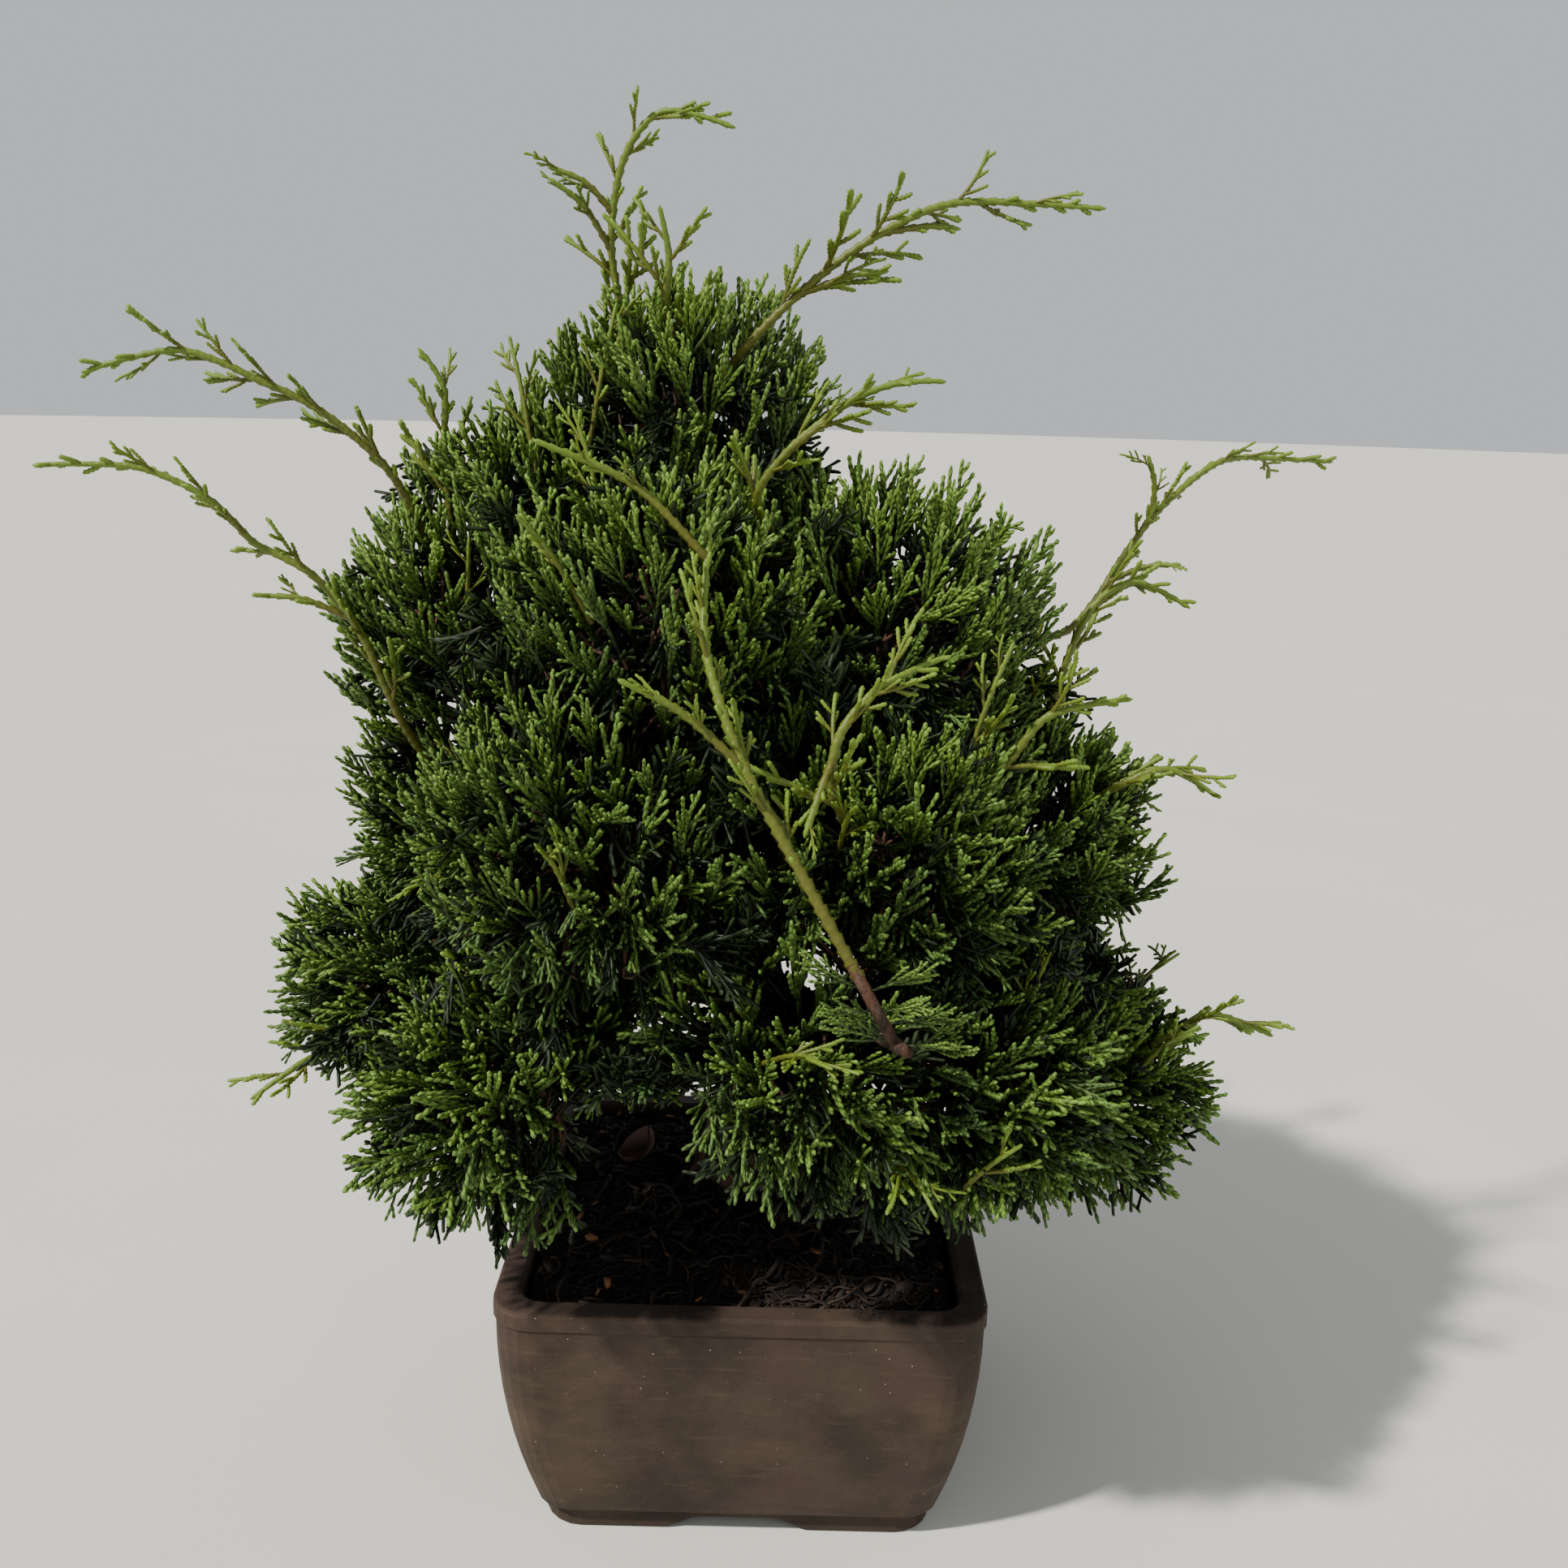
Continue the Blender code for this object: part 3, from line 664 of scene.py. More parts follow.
PAD_NAMES = names_after("foliage_")
PAD_TREE = cad_tree(["foliage_" + pad for pad in PAD_NAMES])
TRUNK_LINE = trunk_line()
TRUNK_POINTS = points_at(TRUNK_LINE, np.linspace(0, walked(TRUNK_LINE)[-1], 60))
CROWN_HEART = np.array((TRUNK_LINE[-1][0], TRUNK_LINE[-1][1], 0.22))
TUFT_SPACING = 24 * MM
TUFT_DEPTH = 31 * MM
SPRAY_SPACING = 10.5 * MM
SKIRT_TOP = 212 * MM
PIECE_FACES = 92000

# A place is open if nothing stands within OPEN_AIR of it, and faces down if the height of its
# normal is below UNDERSIDE. SKIN is where a line of sight starts above it.
OPEN_AIR = 5 * MM
UNDERSIDE = -0.30
SKIN = 0.4 * MM

# Across valleys narrower than VALLEY_WIDTH, sprays reach up to VALLEY_PUSH further
VALLEY_WIDTH = 52 * MM
VALLEY_PUSH = 17 * MM

# Shaded sprays: how dark they are, and how far their feet lie behind their places
SHADE = 0.38
SHADED_SINK = 16 * MM
HEART_SPRAYS = 150

# How far the sprays of the upper pads reach past their solids, where the crown closes over them
PAD_SWELL = {"apex": 11 * MM, "top_left": 7 * MM, "high_right": 13 * MM,
             "high_left": 5 * MM, "high_back": 5 * MM}

# The growth stands open like an arch over the soil, in front and to the left of the trunk
ARCH_MIDDLE = -36 * MM
ARCH_HALF = 25 * MM
ARCH_FRONT = -120 * MM
ARCH_BACK = 15 * MM
ARCH_TOP = 207 * MM
ARCH_FALL = 0.53


def trunk_at(level):
    """The middle of the trunk nearest to a level."""
    return TRUNK_POINTS[np.argmin(np.abs(TRUNK_POINTS[:, 2] - level))]


def distance_to_pad(spot, normal, reach):
    """How far the next pad lies over a place, or None if there is none within reach."""
    return PAD_TREE.ray_cast(Vector(spot + normal * SKIN), Vector(normal), reach)[3]


def in_arch(spot):
    """Whether a place lies in the open arch, whose roof comes down towards the back."""
    roof = ARCH_TOP - ARCH_FALL * (spot[1] - ARCH_FRONT)
    return abs(spot[0] - ARCH_MIDDLE) < ARCH_HALF and spot[1] < ARCH_BACK and spot[2] < roof


def valley_share(spot, normal):
    """How deep a place lies in a valley between two pads, from 0 in the open to 1."""
    distance = distance_to_pad(spot, normal, VALLEY_WIDTH)
    return 0.0 if distance is None else 1 - distance / VALLEY_WIDTH


def surface_spots(rng, pad, spacing, tries=2600):
    """Open places on a pad's surface, at least a spacing apart, as (place, normal) pairs."""
    points, triangles = cad_surface("foliage_" + pad)
    a, b, c = (points[triangles[:, corner]] for corner in range(3))
    crosses = np.cross(b - a, c - a)
    areas = np.linalg.norm(crosses, axis=1)
    normals = crosses / np.maximum(areas, 1e-12)[:, None]
    chances = np.cumsum(areas) / areas.sum()
    spots = []
    far_away = 9.0
    places = np.full((tries, 3), far_away)
    for _ in range(tries):
        i = int(np.searchsorted(chances, rng.random()))
        s = math.sqrt(rng.random())
        t = rng.random()
        spot = a[i] * (1 - s) + b[i] * s * (1 - t) + c[i] * s * t
        if np.min(np.sum((places[:len(spots) + 1] - spot) ** 2, axis=1)) < spacing ** 2:
            continue
        if distance_to_pad(spot, normals[i], OPEN_AIR) is None and not in_arch(spot):
            places[len(spots)] = spot
            spots.append((spot, normals[i]))
    return spots


def pad_hub(pad):
    """Where a pad's twigs start: the end of its branch, or the trunk's top."""
    if "branch_" + pad in NODES:
        return BRANCH_LINES[pad][0][-1]
    return TRUNK_LINE[-1]


def growing_way(spot, normal, hub, valley=0.0):
    """The way a spray grows: out of its pad and away from the crown's heart, and towards light."""
    outward = unit(spot - CROWN_HEART)
    from_hub = unit(spot - hub)
    height = np.clip((spot[2] - 0.16) / 0.22, 0, 1)
    if normal[2] < UNDERSIDE:
        way = 0.55 * from_hub + 0.5 * outward + UP * -0.45
    else:
        way = 0.50 * from_hub + 0.22 * normal + 0.35 * outward + UP * (0.12 + 0.62 * height)
    return unit(way + outward * 0.9 * valley)


def twig(start, end, heading, thick, thin):
    """A bare twig that leaves start and ends at end along heading."""
    length = np.linalg.norm(end - start)
    middle = end - heading * length * 0.4
    line = smooth_line([start, (start + middle) / 2 + heading * 1.5 * MM, middle, end], 5 * MM)
    radii = np.linspace(thick, thin, len(line))
    return tube(line, radii, 4, 0.4, np.linspace(0.1, 0.9, len(line)))


def jitter(rng, spread):
    """A small random step, for headings that shouldn't all be alike."""
    return np.array([rng.gauss(0, spread) for _ in range(3)])


def cover_spray(rng, library, spot, normal, hub, swell):
    """One spray of the crown's cover, with its tip at a place. Returns it, its foot and its way."""
    under = normal[2] < UNDERSIDE
    valley = valley_share(spot, normal)
    way = unit(growing_way(spot, normal, hub, valley) + jitter(rng, 0.17))
    kind = "long" if spot[2] < SKIRT_TOP and rng.random() < 0.65 else "close"
    spray = rng.choice(library["hanging" if under else kind])
    scale = rng.uniform(0.86, 1.12)
    # The tone varies at random and with the kind of spray, and is painted light and shade as well:
    # sprays that face up or stand high are lighter, and those in valleys or underneath darker
    height = np.clip((spot[2] - 0.20) / 0.20, 0, 1)
    tone_with_painted_light = 0.24 + 0.32 * max(0.0, normal[2]) + 0.24 * height - 0.2 * valley
    tone_with_painted_light += rng.gauss(0, 0.10)
    if kind == "long":
        tone_with_painted_light += 0.20
    push = swell + VALLEY_PUSH * valley + rng.gauss(0, 1.8 * MM)
    sag = rng.uniform(-3.0, 1.0) if kind == "long" else rng.uniform(0.5, 3.5)
    if under:
        tone_with_painted_light = rng.uniform(0.0, 0.3)
        push = VALLEY_PUSH * valley - rng.uniform(0, 9 * MM)
        sag = rng.uniform(-4.0, 1.0)
    foot = spot + way * (push - spray.points[:, 2].max() * scale)
    leaves = set_out(spray, foot, way, rng.uniform(0, math.pi), scale, sag, tone_with_painted_light)
    return leaves, foot, way


def shaded_spray(rng, library, place, way, spread):
    """A plain spray at a place inside the crown, darkened with painted shade, that grows roughly
    along way.
    """
    heading = unit(way + jitter(rng, spread))
    spray = rng.choice(library["inner"])
    return set_out(spray, place - heading * SHADED_SINK, heading, rng.uniform(0, math.pi),
                   1.0, 0.0, rng.uniform(0.0, 0.2), SHADE)


def inner_growth(rng, library, spots, hub):
    """Shaded growth in the depth of a pad and in its valleys, as plain sprays."""
    leaves = []
    for spot, normal in spots:
        places = [hub + (spot - hub) * share for share in (0.42, 0.42, 0.70, 0.70, 0.70)]
        if valley_share(spot, normal) > 0.1:
            outward = unit(spot - CROWN_HEART)
            places += [spot, spot, spot + outward * 5 * MM, spot + normal * 7 * MM,
                       spot + normal * 7 * MM + outward * 5 * MM]
        leaves += [shaded_spray(rng, library, place, unit(spot - hub), 0.45)
                   for place in places if not in_arch(place)]
    return leaves


def heart_growth(rng, library):
    """Growth darkened with painted shade round the trunk, which closes the view through the crown's
    middle.
    """
    leaves = []
    for _ in range(HEART_SPRAYS):
        middle = trunk_at(rng.uniform(205, 330) * MM)
        turn = rng.uniform(0, math.tau)
        outward = np.array((math.cos(turn), math.sin(turn), rng.uniform(-0.1, 0.5)))
        place = middle + outward * rng.uniform(22, 58) * MM
        if not in_arch(place):
            leaves.append(shaded_spray(rng, library, place, outward, 0.4))
    return leaves


def make_leaves(name, leaves, look, pad):
    """Leafy pieces of at most PIECE_FACES faces each. The first stands for the pad's CAD solid."""
    faces = np.cumsum([len(part.quads) for part in leaves])
    groups = math.ceil(faces[-1] / PIECE_FACES)
    cuts = np.searchsorted(faces, np.linspace(0, faces[-1], groups + 1)[1:-1])
    for order, (start, end) in enumerate(zip([0, *cuts], [*cuts, len(leaves)])):
        piece = f"{name}_{pad}" if order == 0 else f"{name}_{pad}_{order + 1}"
        stands_for = ["foliage_" + pad] if name == "leaves" and order == 0 else []
        make_piece(piece, leaves[start:end], look, stands_for)


def make_crown(library, leaf, bark):
    """Each pad: twigs from its branch to its tufts, a cover of sprays on them, and an inside
    of sprays darkened with painted shade.
    """
    for number, pad in enumerate(PAD_NAMES):
        rng = random.Random(100 + number)
        hub = pad_hub(pad)
        tufts = surface_spots(rng, pad, TUFT_SPACING, 900)
        bases = []
        twigs = []
        for spot, normal in tufts:
            way = growing_way(spot, normal, hub)
            bases.append(spot - way * TUFT_DEPTH)
            twigs.append(twig(hub, bases[-1], way, 1.1 * MM, 0.75 * MM))
        leaves = []
        for spot, normal in surface_spots(rng, pad, SPRAY_SPACING):
            spray, foot, way = cover_spray(rng, library, spot, normal, hub, PAD_SWELL.get(pad, 0.0))
            if in_arch(foot) or in_arch((spot + foot) / 2):
                continue
            base = min(bases, key=lambda place: np.linalg.norm(place - foot))
            leaves.append(spray)
            twigs.append(twig(base, foot + way * 1.5 * MM, way, 0.7 * MM, 0.6 * MM))
        make_leaves("leaves", leaves, leaf, pad)
        make_leaves("shaded", inner_growth(rng, library, tufts, hub), leaf, pad)
        make_piece("twigs_" + pad, twigs, bark)
    make_piece("shaded_heart", heart_growth(random.Random(90), library), leaf)


# ---------------------------------------------------------------- long shoots

def scaly_stem(line, thick, thin, pitch):
    """A long shoot's stem, wrapped in pairs of pointed scales that lift at their tips."""
    sides = 8
    line = points_at(line, np.arange(0, walked(line)[-1], 0.7 * MM))
    along = walked(line)
    length = along[-1]
    radius = np.interp(along, (0, 0.75 * length, length), (thick, (thick + thin) / 2, thin))
    radius = radius * np.sqrt(np.clip((length - along) / (2 * thin), 0.04, 1))
    turn = math.tau * np.arange(sides) / sides
    lift = np.zeros((len(line), sides))
    for pair in range(2):
        phase = (along / pitch + pair / 2) % 1.0
        facing = np.abs(np.cos(turn + pair * math.pi / 2))
        lift += phase[:, None] ** 1.3 * facing[None, :] ** (1.5 + 3.0 * phase[:, None])
    radii = radius[:, None] * (0.80 + 0.44 * lift)
    part = tube(line, radii, sides, 0.45, 1.0)
    # The stem's colour is darker where its scales don't lift, as painted shade between them, and
    # brighter towards the tip as younger growth
    ripeness = (0.05 + 0.95 * along / length)[:, None]
    part.reach = (ripeness * (0.45 + 0.55 * np.sqrt(lift))).reshape(-1)
    return part


def dressed_stem(rng, library, line, thick, thin, start, size=1.0):
    """A scaly stem with fans of fingers on alternate sides, and single fingers near its tip.

    The stem is bare up to the share start of its length. size scales its fans.
    """
    line = smooth_line(line, 1.0 * MM)
    along = walked(line)
    length = along[-1]
    parts = [scaly_stem(line, thick, thin, 4.2 * MM)]
    ahead, across, other = carried_frame(line)
    side = rng.choice((-1, 1))
    roll = rng.uniform(-0.6, 0.6)
    at = start * length
    while at < length - 4 * MM:
        i = int(np.searchsorted(along, at))
        share = at / length
        out = across[i] * math.cos(roll) + other[i] * math.sin(roll)
        heading = turned(ahead[i], out * side, math.radians(rng.uniform(26, 40)), rng.gauss(0, 0.2))
        if share < 0.84 and rng.random() < 0.72:
            spray = rng.choice(library["fresh"])
            scale = size * (1.30 - 0.66 * share) * rng.uniform(0.75, 1.15)
            parts.append(set_out(spray, line[i], heading, rng.gauss(0, 0.4) + roll, scale,
                                 rng.uniform(-4, 5), 0.35 + 0.45 * share + rng.gauss(0, 0.08)))
            at += rng.uniform(8, 14) * MM * (1.1 - 0.45 * share)
        else:
            own = bent_line(line[i], heading, ahead[i] * 0.6, rng.uniform(4.0, 8.0) * MM, 0.8 * MM)
            parts.append(finger(own, FRESH_RADIUS, FRESH_SIDES, FRESH_STEP, strip_start(0.6), 0.35))
            at += rng.uniform(4, 6.5) * MM
        side = -side
    return parts


# Side stems of the long shoots: the share of a shoot's length where each leaves, its reach in mm
SIDE_STEMS = {
    "front": [(0.93, (-50, -3, 33)), (0.47, (-36, -4, 26))],
    "far_left_low": [(0.42, (-27, -4, 7))],
    "top": [(0.50, (-20, -6, 22)), (0.58, (-22, -4, 14))],
    "right": [(0.52, (-4, -4, 24)), (0.36, (26, -6, 8))],
    "top_right": [(0.30, (30, -4, 8)), (0.52, (26, 4, 2))],
    "upper_right": [(0.55, (26, -6, 22))],
    "front_right": [(0.45, (-8, -12, -20))],
}


# Long shoots that rise straight from the growth below them: share of the length that is redrawn,
# and how far the straight foot reaches down
STRAIGHT_FEET = {"front": (0.44, 52 * MM), "front_right": (0.30, 26 * MM)}


def make_barky_foot(rng, library, name, foot, rise, leaf, bark):
    """The older stem below a long shoot. It curves back to the trunk, with sprays on its way."""
    heart = trunk_at(foot[2] - 62 * MM)
    inward = unit((heart - foot) * (1, 1, 0))
    root = smooth_line([foot + rise * 5 * MM, foot - rise * 9 * MM,
                        foot - rise * 22 * MM + inward * 7 * MM,
                        foot - rise * 32 * MM + inward * 24 * MM, heart], 2 * MM)
    radii = np.linspace(1.7, 2.6, len(root)) * MM
    rough_tube("foot_" + name, root, radii, 16, 3.1, 0.35 * MM, bark)
    leaves = []
    for distance in (9, 15, 20, 25, 30, 35, 41):
        place = point_at(root, distance * MM)
        for side in (-1, 1):
            way = -0.08 * inward + np.array((side * 0.75, 0, 0.35))
            heading = unit(way + jitter(rng, 0.2))
            spray = rng.choice(library["close"])
            leaves.append(set_out(spray, place, heading, rng.uniform(0, math.pi),
                                  rng.uniform(0.50, 0.70), 1.0, rng.uniform(0.35, 0.65)))
    make_piece("foot_leaves_" + name, leaves, leaf)


def make_shoot(rng, library, name, look, leaf, bark):
    """One long free shoot, with its side stems and the barky foot that some of them rise from."""
    middles, radii = ring_line("shoot_" + name, 2.6 * MM)
    thick = radii.max() * 1.02
    thin = radii.min()
    if name in STRAIGHT_FEET:
        share, down = STRAIGHT_FEET[name]
        end = walked(middles)[-1]
        upper = points_at(middles, np.linspace(share * end, end, 12))
        rise = unit(upper[1] - upper[0])
        foot = upper[0] - rise * down
        middles = np.vstack((foot, upper))
        thick = radii.max() * 1.2
        make_barky_foot(rng, library, name, foot, rise, leaf, bark)
    parts = dressed_stem(rng, library, middles, thick, thin, 0.25)
    length = walked(middles)[-1]
    for share, reach in SIDE_STEMS.get(name, []):
        foot = point_at(middles, share * length)
        near = point_at(middles, min(1.0, share + 0.05) * length)
        reach = np.array(reach) * MM
        bend = foot + reach * 0.45 + unit(near - foot) * 0.12 * np.linalg.norm(reach)
        line = [foot, bend, foot + reach]
        parts += dressed_stem(rng, library, line, thick * 0.72, thin, 0.35, 0.6)
    make_piece("whip_" + name, parts, look, ["shoot_" + name])


def make_strays(rng, library, look):
    """Short shoots that have outgrown the crown here and there."""
    parts = []
    for pad in PAD_NAMES:
        hub = pad_hub(pad)
        spots = [pair for pair in surface_spots(rng, pad, 40 * MM, 300) if pair[1][2] > -0.35]
        for spot, normal in rng.sample(spots, min(2, len(spots))):
            way = unit(growing_way(spot, normal, hub) + jitter(rng, 0.3))
            tip = spot + way * rng.uniform(10, 24) * MM + UP * rng.uniform(-4, 6) * MM
            foot = spot - way * 22 * MM
            middle = (foot + tip) / 2 + UP * rng.uniform(1, 5) * MM
            parts += dressed_stem(rng, library, [foot, middle, tip], 1.0 * MM, 0.6 * MM, 0.3, 0.75)
    make_piece("stray_shoots", parts, look)


# ---------------------------------------------------------------- trunk and branches

def ridge(spot, plates, sink, lumps, closeness):
    """The height of bark at a place in the noise: sharp cracks between plates with finer lumps."""
    return abs(noise.noise(spot)) * plates - sink + lumps * noise.noise(spot * closeness)


def rough_tube(name, line, radii, sides, seed, cracks, look, replaces=()):
    """A woody stem with raised plates and cracks that run along it."""
    turn = math.tau * np.arange(sides) / sides
    radii = np.broadcast_to(np.reshape(radii, (len(line), -1)), (len(line), sides)).copy()
    along = walked(line)
    for row in range(len(line)):
        for column in range(sides):
            spot = Vector((math.cos(turn[column]) * radii[row, column] * 260,
                           math.sin(turn[column]) * radii[row, column] * 260,
                           along[row] * 55 + seed))
            radii[row, column] += cracks * ridge(spot, 1.6, 0.35, 0.4, 2.7)
    part = tube(line, radii, sides, 0.3, np.linspace(0.05, 0.95, len(line)))
    make_piece(name, [part], look, replaces)


def make_trunk(look):
    """The trunk follows its CAD solid, ring by ring, with a rounder and rougher surface."""
    solid = cad_tree(["trunk"])
    levels = np.arange(SOIL_HIGH[2] - 10 * MM, TRUNK_LINE[-1][2], 0.9 * MM)
    heights = TRUNK_LINE[:, 2]
    line = np.stack([np.interp(levels, heights, TRUNK_LINE[:, axis]) for axis in range(3)], axis=1)
    sides = 72
    turn = math.tau * np.arange(sides) / sides
    ways = np.stack((np.cos(turn), np.sin(turn), np.zeros(sides)), axis=1)
    radii = np.zeros((len(line), sides))
    for row, middle in enumerate(line):
        for column, way in enumerate(ways):
            radii[row, column] = solid.ray_cast(Vector(middle), Vector(way), 50 * MM)[3] or 0.0
    radii[radii == 0] = radii[radii > 0].min()
    for _ in range(3):
        radii = (np.roll(radii, 1, axis=1) + radii + np.roll(radii, -1, axis=1)) / 3
    for row in range(1, len(radii)):
        radii[row] = 0.7 * radii[row] + 0.3 * radii[row - 1]
    rings = []
    for row, middle in enumerate(line):
        for column, way in enumerate(ways):
            height = 1.3 * MM * ridge(Vector(way * 4.2 + UP * middle[2] * 60), 1.7, 0.4, 0.5, 2.6)
            rings.append(middle + way * (radii[row, column] + height))
    part = Growth(np.array(rings), ring_quads(len(line), sides),
                  np.tile(ring_tones(sides) + 0.3, len(line)),
                  np.repeat(np.linspace(0.05, 0.95, len(line)), sides))
    make_piece("trunk_bark", [part], look, ["trunk"])


def branch_line(pad):
    """A branch's line from the heart of the trunk, and its radius along that line."""
    middles, radii = ring_line("branch_" + pad, 4.9 * MM, TRUNK_POINTS, 13 * MM)
    lean = unit(middles[0] - middles[1])
    nearest = TRUNK_POINTS[np.argmin(np.linalg.norm(TRUNK_POINTS - middles[0], axis=1))]
    root = middles[0] + lean * np.linalg.norm(nearest - middles[0])
    root = (root + nearest) / 2
    return np.vstack((root, middles)), np.concatenate(([radii[0] * 1.15], radii))


def make_branches(look):
    """Bark on every branch, along the line of its CAD solid."""
    for number, (pad, (line, radii)) in enumerate(BRANCH_LINES.items()):
        smooth = smooth_line(line, 1.6 * MM)
        reach = np.interp(walked(smooth), walked(line), radii)
        rough_tube("bark_" + pad, smooth, reach, 20, 7.3 * number, 0.5 * MM, look,
                   ["branch_" + pad])


# ---------------------------------------------------------------- soil

SOIL_LOW, SOIL_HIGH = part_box("soil")
SOIL_MIDDLE = ((SOIL_LOW[0] + SOIL_HIGH[0]) / 2, (SOIL_LOW[1] + SOIL_HIGH[1]) / 2)
SOIL_HALF = (SOIL_HIGH[0] - SOIL_LOW[0]) / 2
SOIL_CORNER = 9.5 * MM


def past_corner(x, y):
    """How far a place lies out from the middle of the nearest rounded corner, along X and Y."""
    return (max(0.0, abs(x - SOIL_MIDDLE[0]) - (SOIL_HALF - SOIL_CORNER)),
            max(0.0, abs(y - SOIL_MIDDLE[1]) - (SOIL_HALF - SOIL_CORNER)))


def inside_soil(x, y, margin):
    """Whether a place on the soil keeps at least a margin from its edge."""
    return math.hypot(*past_corner(x, y)) < SOIL_CORNER - margin


def crust_height(tree, x, y):
    """The height of the soil's lumpy crust."""
    hit = tree.ray_cast(Vector((x, y, 0.2)), Vector((0, 0, -1)))
    ground = hit[0].z if hit[0] is not None else SOIL_HIGH[2] - 5 * MM
    spot = Vector((x, y, 0.0))
    lumps = noise.fractal(spot * 95, 1.0, 2.0, 4) * 1.5
    grains = noise.noise(spot * 620) * 0.45
    return ground + (1.6 + lumps + grains) * MM


def make_crust(tree, look):
    """The open face of the compost, as a close grid of lumps."""
    count = 150
    straight = SOIL_HALF - SOIL_CORNER
    shares = np.linspace(-1, 1, count)
    points = []
    for v in shares:
        for u in shares:
            x = SOIL_MIDDLE[0] + u * SOIL_HALF
            y = SOIL_MIDDLE[1] + v * SOIL_HALF
            over_x, over_y = past_corner(x, y)
            over = math.hypot(over_x, over_y)
            if over > SOIL_CORNER:
                x = SOIL_MIDDLE[0] + math.copysign(straight + over_x * SOIL_CORNER / over, u)
                y = SOIL_MIDDLE[1] + math.copysign(straight + over_y * SOIL_CORNER / over, v)
            points.append((x, y, crust_height(tree, x, y)))
    places = np.stack(np.meshgrid(shares, shares), axis=-1).reshape(-1, 2) * 0.5 + 0.5
    part = Growth(np.array(points), grid_quads(count, count), places[:, 0], places[:, 1])
    make_piece("compost_crust", [part], look)


def chip(rng, spot, length, tone):
    """A splinter of bark: a rough six-sided plate that lies any way round."""
    turn = rng.uniform(0, math.tau)
    along = unit(np.array((math.cos(turn), math.sin(turn), rng.gauss(0, 0.35))))
    across = unit(np.cross(along, (rng.gauss(0, 0.4), rng.gauss(0, 0.4), 1.0)))
    thick = np.cross(across, along)
    width = length * rng.uniform(0.28, 0.6)
    depth = length * rng.uniform(0.10, 0.24)
    rim = []
    for level in (-1, 1):
        for step in range(6):
            angle = math.tau * step / 6
            grow = rng.uniform(0.72, 1.1)
            rim.append(spot + along * length / 2 * math.cos(angle) * grow
                       + across * width / 2 * math.sin(angle) * grow
                       + thick * depth / 2 * level * rng.uniform(0.6, 1.2))
    quads = [(i, (i + 1) % 6, 6 + (i + 1) % 6, 6 + i) for i in range(6)]
    quads += [(6, 7, 8, 11), (8, 9, 10, 11), (3, 2, 1, 0), (5, 4, 3, 0)]
    tones = strip_start(tone) + np.tile((0.1, 0.5, 0.9, 0.9, 0.5, 0.1), 2) / TONES
    # The underside is darker than the top: painted shade beneath the splinter
    reach = np.repeat((0.15, 0.85), 6) + np.tile((0.0, 0.1, 0.0, 0.1, 0.0, 0.1), 2)
    return Growth(np.array(rim), np.array(quads), tones, reach)


def strand(rng, tree, spot, length, radius, tone, curl):
    """A fibre or root that wanders over the crust. It is None where too little of one fits."""
    turn = rng.uniform(0, math.tau)
    here = np.array(spot, float)
    line = []
    count = max(5, round(length / (2.2 * MM)))
    rise = rng.uniform(0.3, 1.6) * MM
    for step in range(count):
        turn += rng.gauss(0, curl)
        here = here + np.array((math.cos(turn), math.sin(turn), 0)) * length / count
        if not inside_soil(here[0], here[1], 1.5 * MM):
            break
        lift = rise * math.sin(math.pi * step / (count - 1)) + rng.gauss(0, 0.25 * MM)
        line.append((here[0], here[1], crust_height(tree, here[0], here[1]) + lift + radius))
    if len(line) < 4:
        return None
    line = smooth_line(line, 1.6 * MM)
    radii = radius * (1 - 0.5 * np.linspace(0, 1, len(line)))
    return tube(line, radii, 4, strip_start(tone), np.linspace(0.1, 0.9, len(line)))


def random_spot(rng, tree, margin):
    """A place on the crust, at least a margin from its edge."""
    while True:
        x = SOIL_MIDDLE[0] + rng.uniform(-SOIL_HALF, SOIL_HALF)
        y = SOIL_MIDDLE[1] + rng.uniform(-SOIL_HALF, SOIL_HALF)
        if inside_soil(x, y, margin):
            return np.array((x, y, crust_height(tree, x, y)))


# Fibres, roots and thick roots on the compost: how many, the margin from its edge, their lengths
# and radii, all in mm, their tones and how much they wander
STRANDS = [
    (620, 2, (5, 20), (0.14, 0.34), (0.0, 0.1, 0.2, 0.3, 0.5), 0.35),
    (430, 4, (9, 28), (0.5, 1.05), (0.0, 0.1, 0.2, 0.4, 0.7), 0.5),
    (46, 6, (20, 42), (0.7, 1.3), (0.15, 0.3, 0.45, 0.7), 0.26),
]
FINE_CHIPS = 3400


def loose_chips(rng, tree, count, margin, lift, lengths, tones):
    """Large splinters that lie on the crust. margin, lift and lengths are in mm."""
    chips = []
    for _ in range(count):
        spot = random_spot(rng, tree, margin * MM) + UP * lift * MM
        chips.append(chip(rng, spot, rng.uniform(*lengths) * MM, rng.choice(tones)))
    return chips


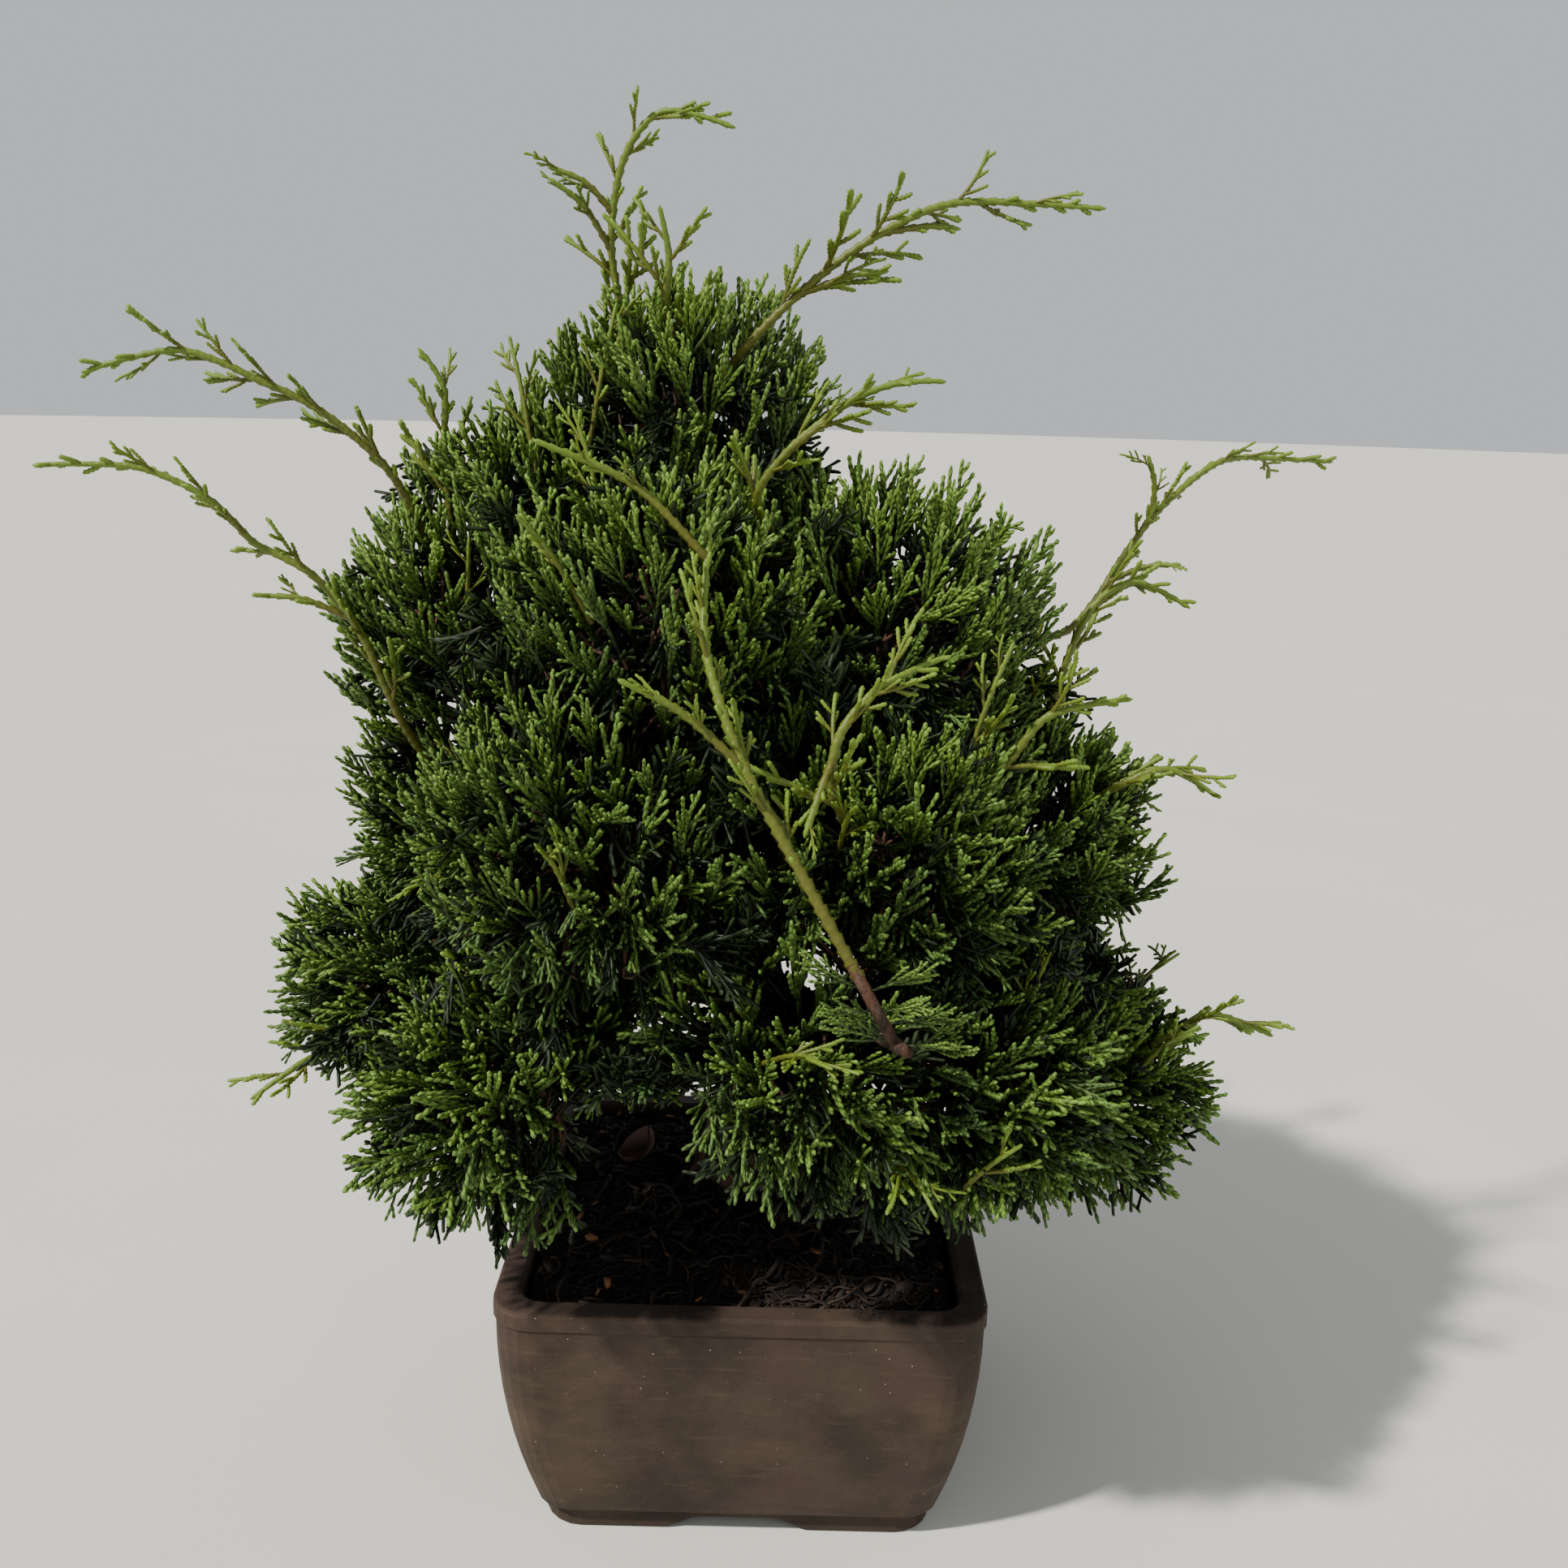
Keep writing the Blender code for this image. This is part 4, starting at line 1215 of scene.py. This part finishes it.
def make_litter(tree, look, rust):
    """Bark splinters, fibres and thin roots on the compost."""
    rng = random.Random(7)
    chips = []
    for _ in range(FINE_CHIPS):
        length = min(6.5, rng.lognormvariate(0.85, 0.42)) * MM
        spot = random_spot(rng, tree, 1.2 * MM) + UP * rng.uniform(-0.2, 1.1) * MM
        tone = rng.choice((0.0, 0.05, 0.05, 0.1, 0.1, 0.15, 0.2, 0.3, 0.45))
        chips.append(chip(rng, spot, length, tone))
    chips += loose_chips(rng, tree, 60, 5, 1.0, (6, 10), (0.1, 0.2, 0.3, 0.6))
    make_piece("compost_chips", chips, look)
    bright = loose_chips(rng, tree, 26, 4, 1.4, (2.5, 6.5), (0.55, 0.75, 0.95))
    make_piece("rust_chips", bright, rust)
    fibres = []
    for count, margin, lengths, radii, tones, curl in STRANDS:
        for _ in range(count):
            spot = random_spot(rng, tree, margin * MM)
            length = rng.uniform(*lengths) * MM
            radius = rng.uniform(*radii) * MM
            fibres.append(strand(rng, tree, spot, length, radius, rng.choice(tones), curl))
    make_piece("compost_fibres", [part for part in fibres if part is not None], look)


def make_fallen_leaf(look):
    """A curled dead leaf on the compost, near the back left of the pot."""
    long, wide = 10 * MM, 6.5 * MM
    rows, columns = 15, 9
    middle = np.array((SOIL_MIDDLE[0] - 47 * MM, SOIL_MIDDLE[1] + 26 * MM))
    turn = 1.1
    points = []
    for v in np.linspace(-1, 1, rows):
        for u in np.linspace(-1, 1, columns):
            half = wide * (1 - v * v) ** 0.6 + 0.4 * MM
            x = middle[0] + math.cos(turn) * long * v - math.sin(turn) * half * u
            y = middle[1] + math.sin(turn) * long * v + math.cos(turn) * half * u
            curl = (4.6 + 2.2 * v) * MM * abs(u) ** 1.7 + 3.4 * MM * v * v
            curl += 1.1 * MM * noise.noise(Vector((u * 1.7, v * 3.1, 0.4)))
            points.append((x, y, SOIL_HIGH[2] + 2.5 * MM + curl))
    across = np.tile(np.linspace(0.1, 0.9, columns), rows)
    along = np.repeat(np.linspace(0.1, 0.9, rows), columns)
    part = Growth(np.array(points), grid_quads(rows, columns), across, along)
    make_piece("fallen_leaf", [part], look)


def make_crumbs(look):
    """Compost crumbs that were spilt on the pot's rim when it was watered."""
    rng = random.Random(23)
    low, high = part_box("pot")
    crumbs = []
    for _ in range(46):
        x = rng.uniform(0.20, 0.96) ** 0.6 * (high[0] - 7 * MM)
        y = low[1] + rng.uniform(2.0, 8.5) * MM
        spot = np.array((x, y, high[2] + 0.15 * MM))
        crumbs.append(chip(rng, spot, rng.uniform(0.5, 1.7) * MM, rng.choice((0.1, 0.3, 0.6))))
    make_piece("rim_crumbs", crumbs, look)


# ---------------------------------------------------------------- camera, light and floor

def make_camera():
    """The camera, with its heading, dip and slight tilt."""
    place = (0.010, -0.540, 0.4144)
    yaw, dip, tilt = 0.0017, 0.2607, 0.0251
    ahead = Vector((math.sin(yaw) * math.cos(dip), math.cos(yaw) * math.cos(dip), -math.sin(dip)))
    right = Vector((math.cos(yaw), -math.sin(yaw), 0))
    above = right.cross(ahead)
    tilted_right = right * math.cos(tilt) + above * math.sin(tilt)
    tilted_above = above * math.cos(tilt) - right * math.sin(tilt)
    data = bpy.data.cameras.new("camera")
    data.sensor_width = 36.0
    data.lens = 34.47
    camera = bpy.data.objects.new("camera", data)
    bpy.context.scene.collection.objects.link(camera)
    camera.matrix_world = Matrix([*zip(tilted_right, tilted_above, -ahead, place), (0, 0, 0, 1)])
    bpy.context.scene.camera = camera


def add_lamp(name, kind, heading, strength, colour, **settings):
    """A lamp that shines along heading, from well outside the object."""
    data = bpy.data.lights.new(name, kind)
    data.energy = strength
    data.color = colour
    for key, value in settings.items():
        setattr(data, key, value)
    lamp = bpy.data.objects.new(name, data)
    bpy.context.scene.collection.objects.link(lamp)
    lamp.location = Vector((0, 0, 0.2)) - Vector(heading).normalized() * 1.8
    lamp.rotation_euler = Vector(heading).to_track_quat("-Z", "Y").to_euler()


def make_studio():
    """A large pale floor, a soft key from the upper left front, and a pale room for fill."""
    add_lamp("key", "SUN", (0.62, 0.37, -0.80), 6.2, (1.0, 0.965, 0.90), angle=math.radians(3))
    add_lamp("fill", "AREA", (-0.8, 0.9, -0.25), 5.0, (0.92, 0.96, 1.0), shape="DISK", size=1.4)
    world = bpy.data.worlds.new("studio")
    world.use_nodes = True
    sky = world.node_tree.nodes["Background"]
    sky.inputs["Color"].default_value = (0.93, 0.97, 1.0, 1)
    sky.inputs["Strength"].default_value = 0.62
    bpy.context.scene.world = world
    bpy.ops.mesh.primitive_circle_add(vertices=96, radius=14.0, fill_type="NGON")
    floor = bpy.context.object
    floor.name = "floor"
    floor.data.materials.append(floor_material())


# ---------------------------------------------------------------- everything

def give_look(node, look):
    """A material for a CAD node that shows as it is."""
    NODES[node].data.materials.clear()
    NODES[node].data.materials.append(look)


make_camera()
make_studio()

BRANCH_LINES = {pad: branch_line(pad) for pad in PAD_NAMES if "branch_" + pad in NODES}
trunk_look = bark_material("bark_trunk", (0.014, 0.008, 0.005), (0.075, 0.034, 0.020),
                           (0.120, 0.085, 0.064), 1.0)
twig_look = bark_material("bark_twig", (0.020, 0.011, 0.007), (0.085, 0.040, 0.024),
                          (0.100, 0.074, 0.050), 2.2)
leaf_look = leafy_material("leaf_scales", 0.5, (0.0012, 0.0030, 0.0008), (0.048, 0.100, 0.024),
                           (0.0038, 0.0110, 0.0012), (0.215, 0.370, 0.052), 0.66)
shoot_look = leafy_material("shoot_scales", 0.45, (0.066, 0.066, 0.011), (0.078, 0.130, 0.017),
                            (0.098, 0.100, 0.011), (0.175, 0.285, 0.030))
litter_look = leafy_material("compost_litter", 0.8,
                             (0.004, 0.0027, 0.0020), (0.012, 0.0080, 0.0058),
                             (0.022, 0.0150, 0.0105), (0.072, 0.0520, 0.0370))
rust_look = leafy_material("rusty_chips", 0.8, (0.060, 0.024, 0.012), (0.120, 0.052, 0.026),
                           (0.110, 0.046, 0.020), (0.300, 0.135, 0.060))
dead_look = leafy_material("dead_leaf", 0.75, (0.060, 0.034, 0.028), (0.100, 0.058, 0.048),
                           (0.085, 0.048, 0.040), (0.130, 0.080, 0.066))

give_look("pot", clay_material())
give_look("soil", soil_material())
give_look("drain_mesh", plastic_material())

sprays = spray_library(11)
make_crown(sprays, leaf_look, twig_look)
for order, shoot in enumerate(names_after("shoot_")):
    make_shoot(random.Random(300 + order), sprays, shoot, shoot_look, leaf_look, trunk_look)
make_strays(random.Random(41), sprays, shoot_look)
make_trunk(trunk_look)
make_branches(trunk_look)
soil_tree = cad_tree(["soil"])
make_crust(soil_tree, soil_material())
make_litter(soil_tree, litter_look, rust_look)
make_fallen_leaf(dead_look)
make_crumbs(litter_look)
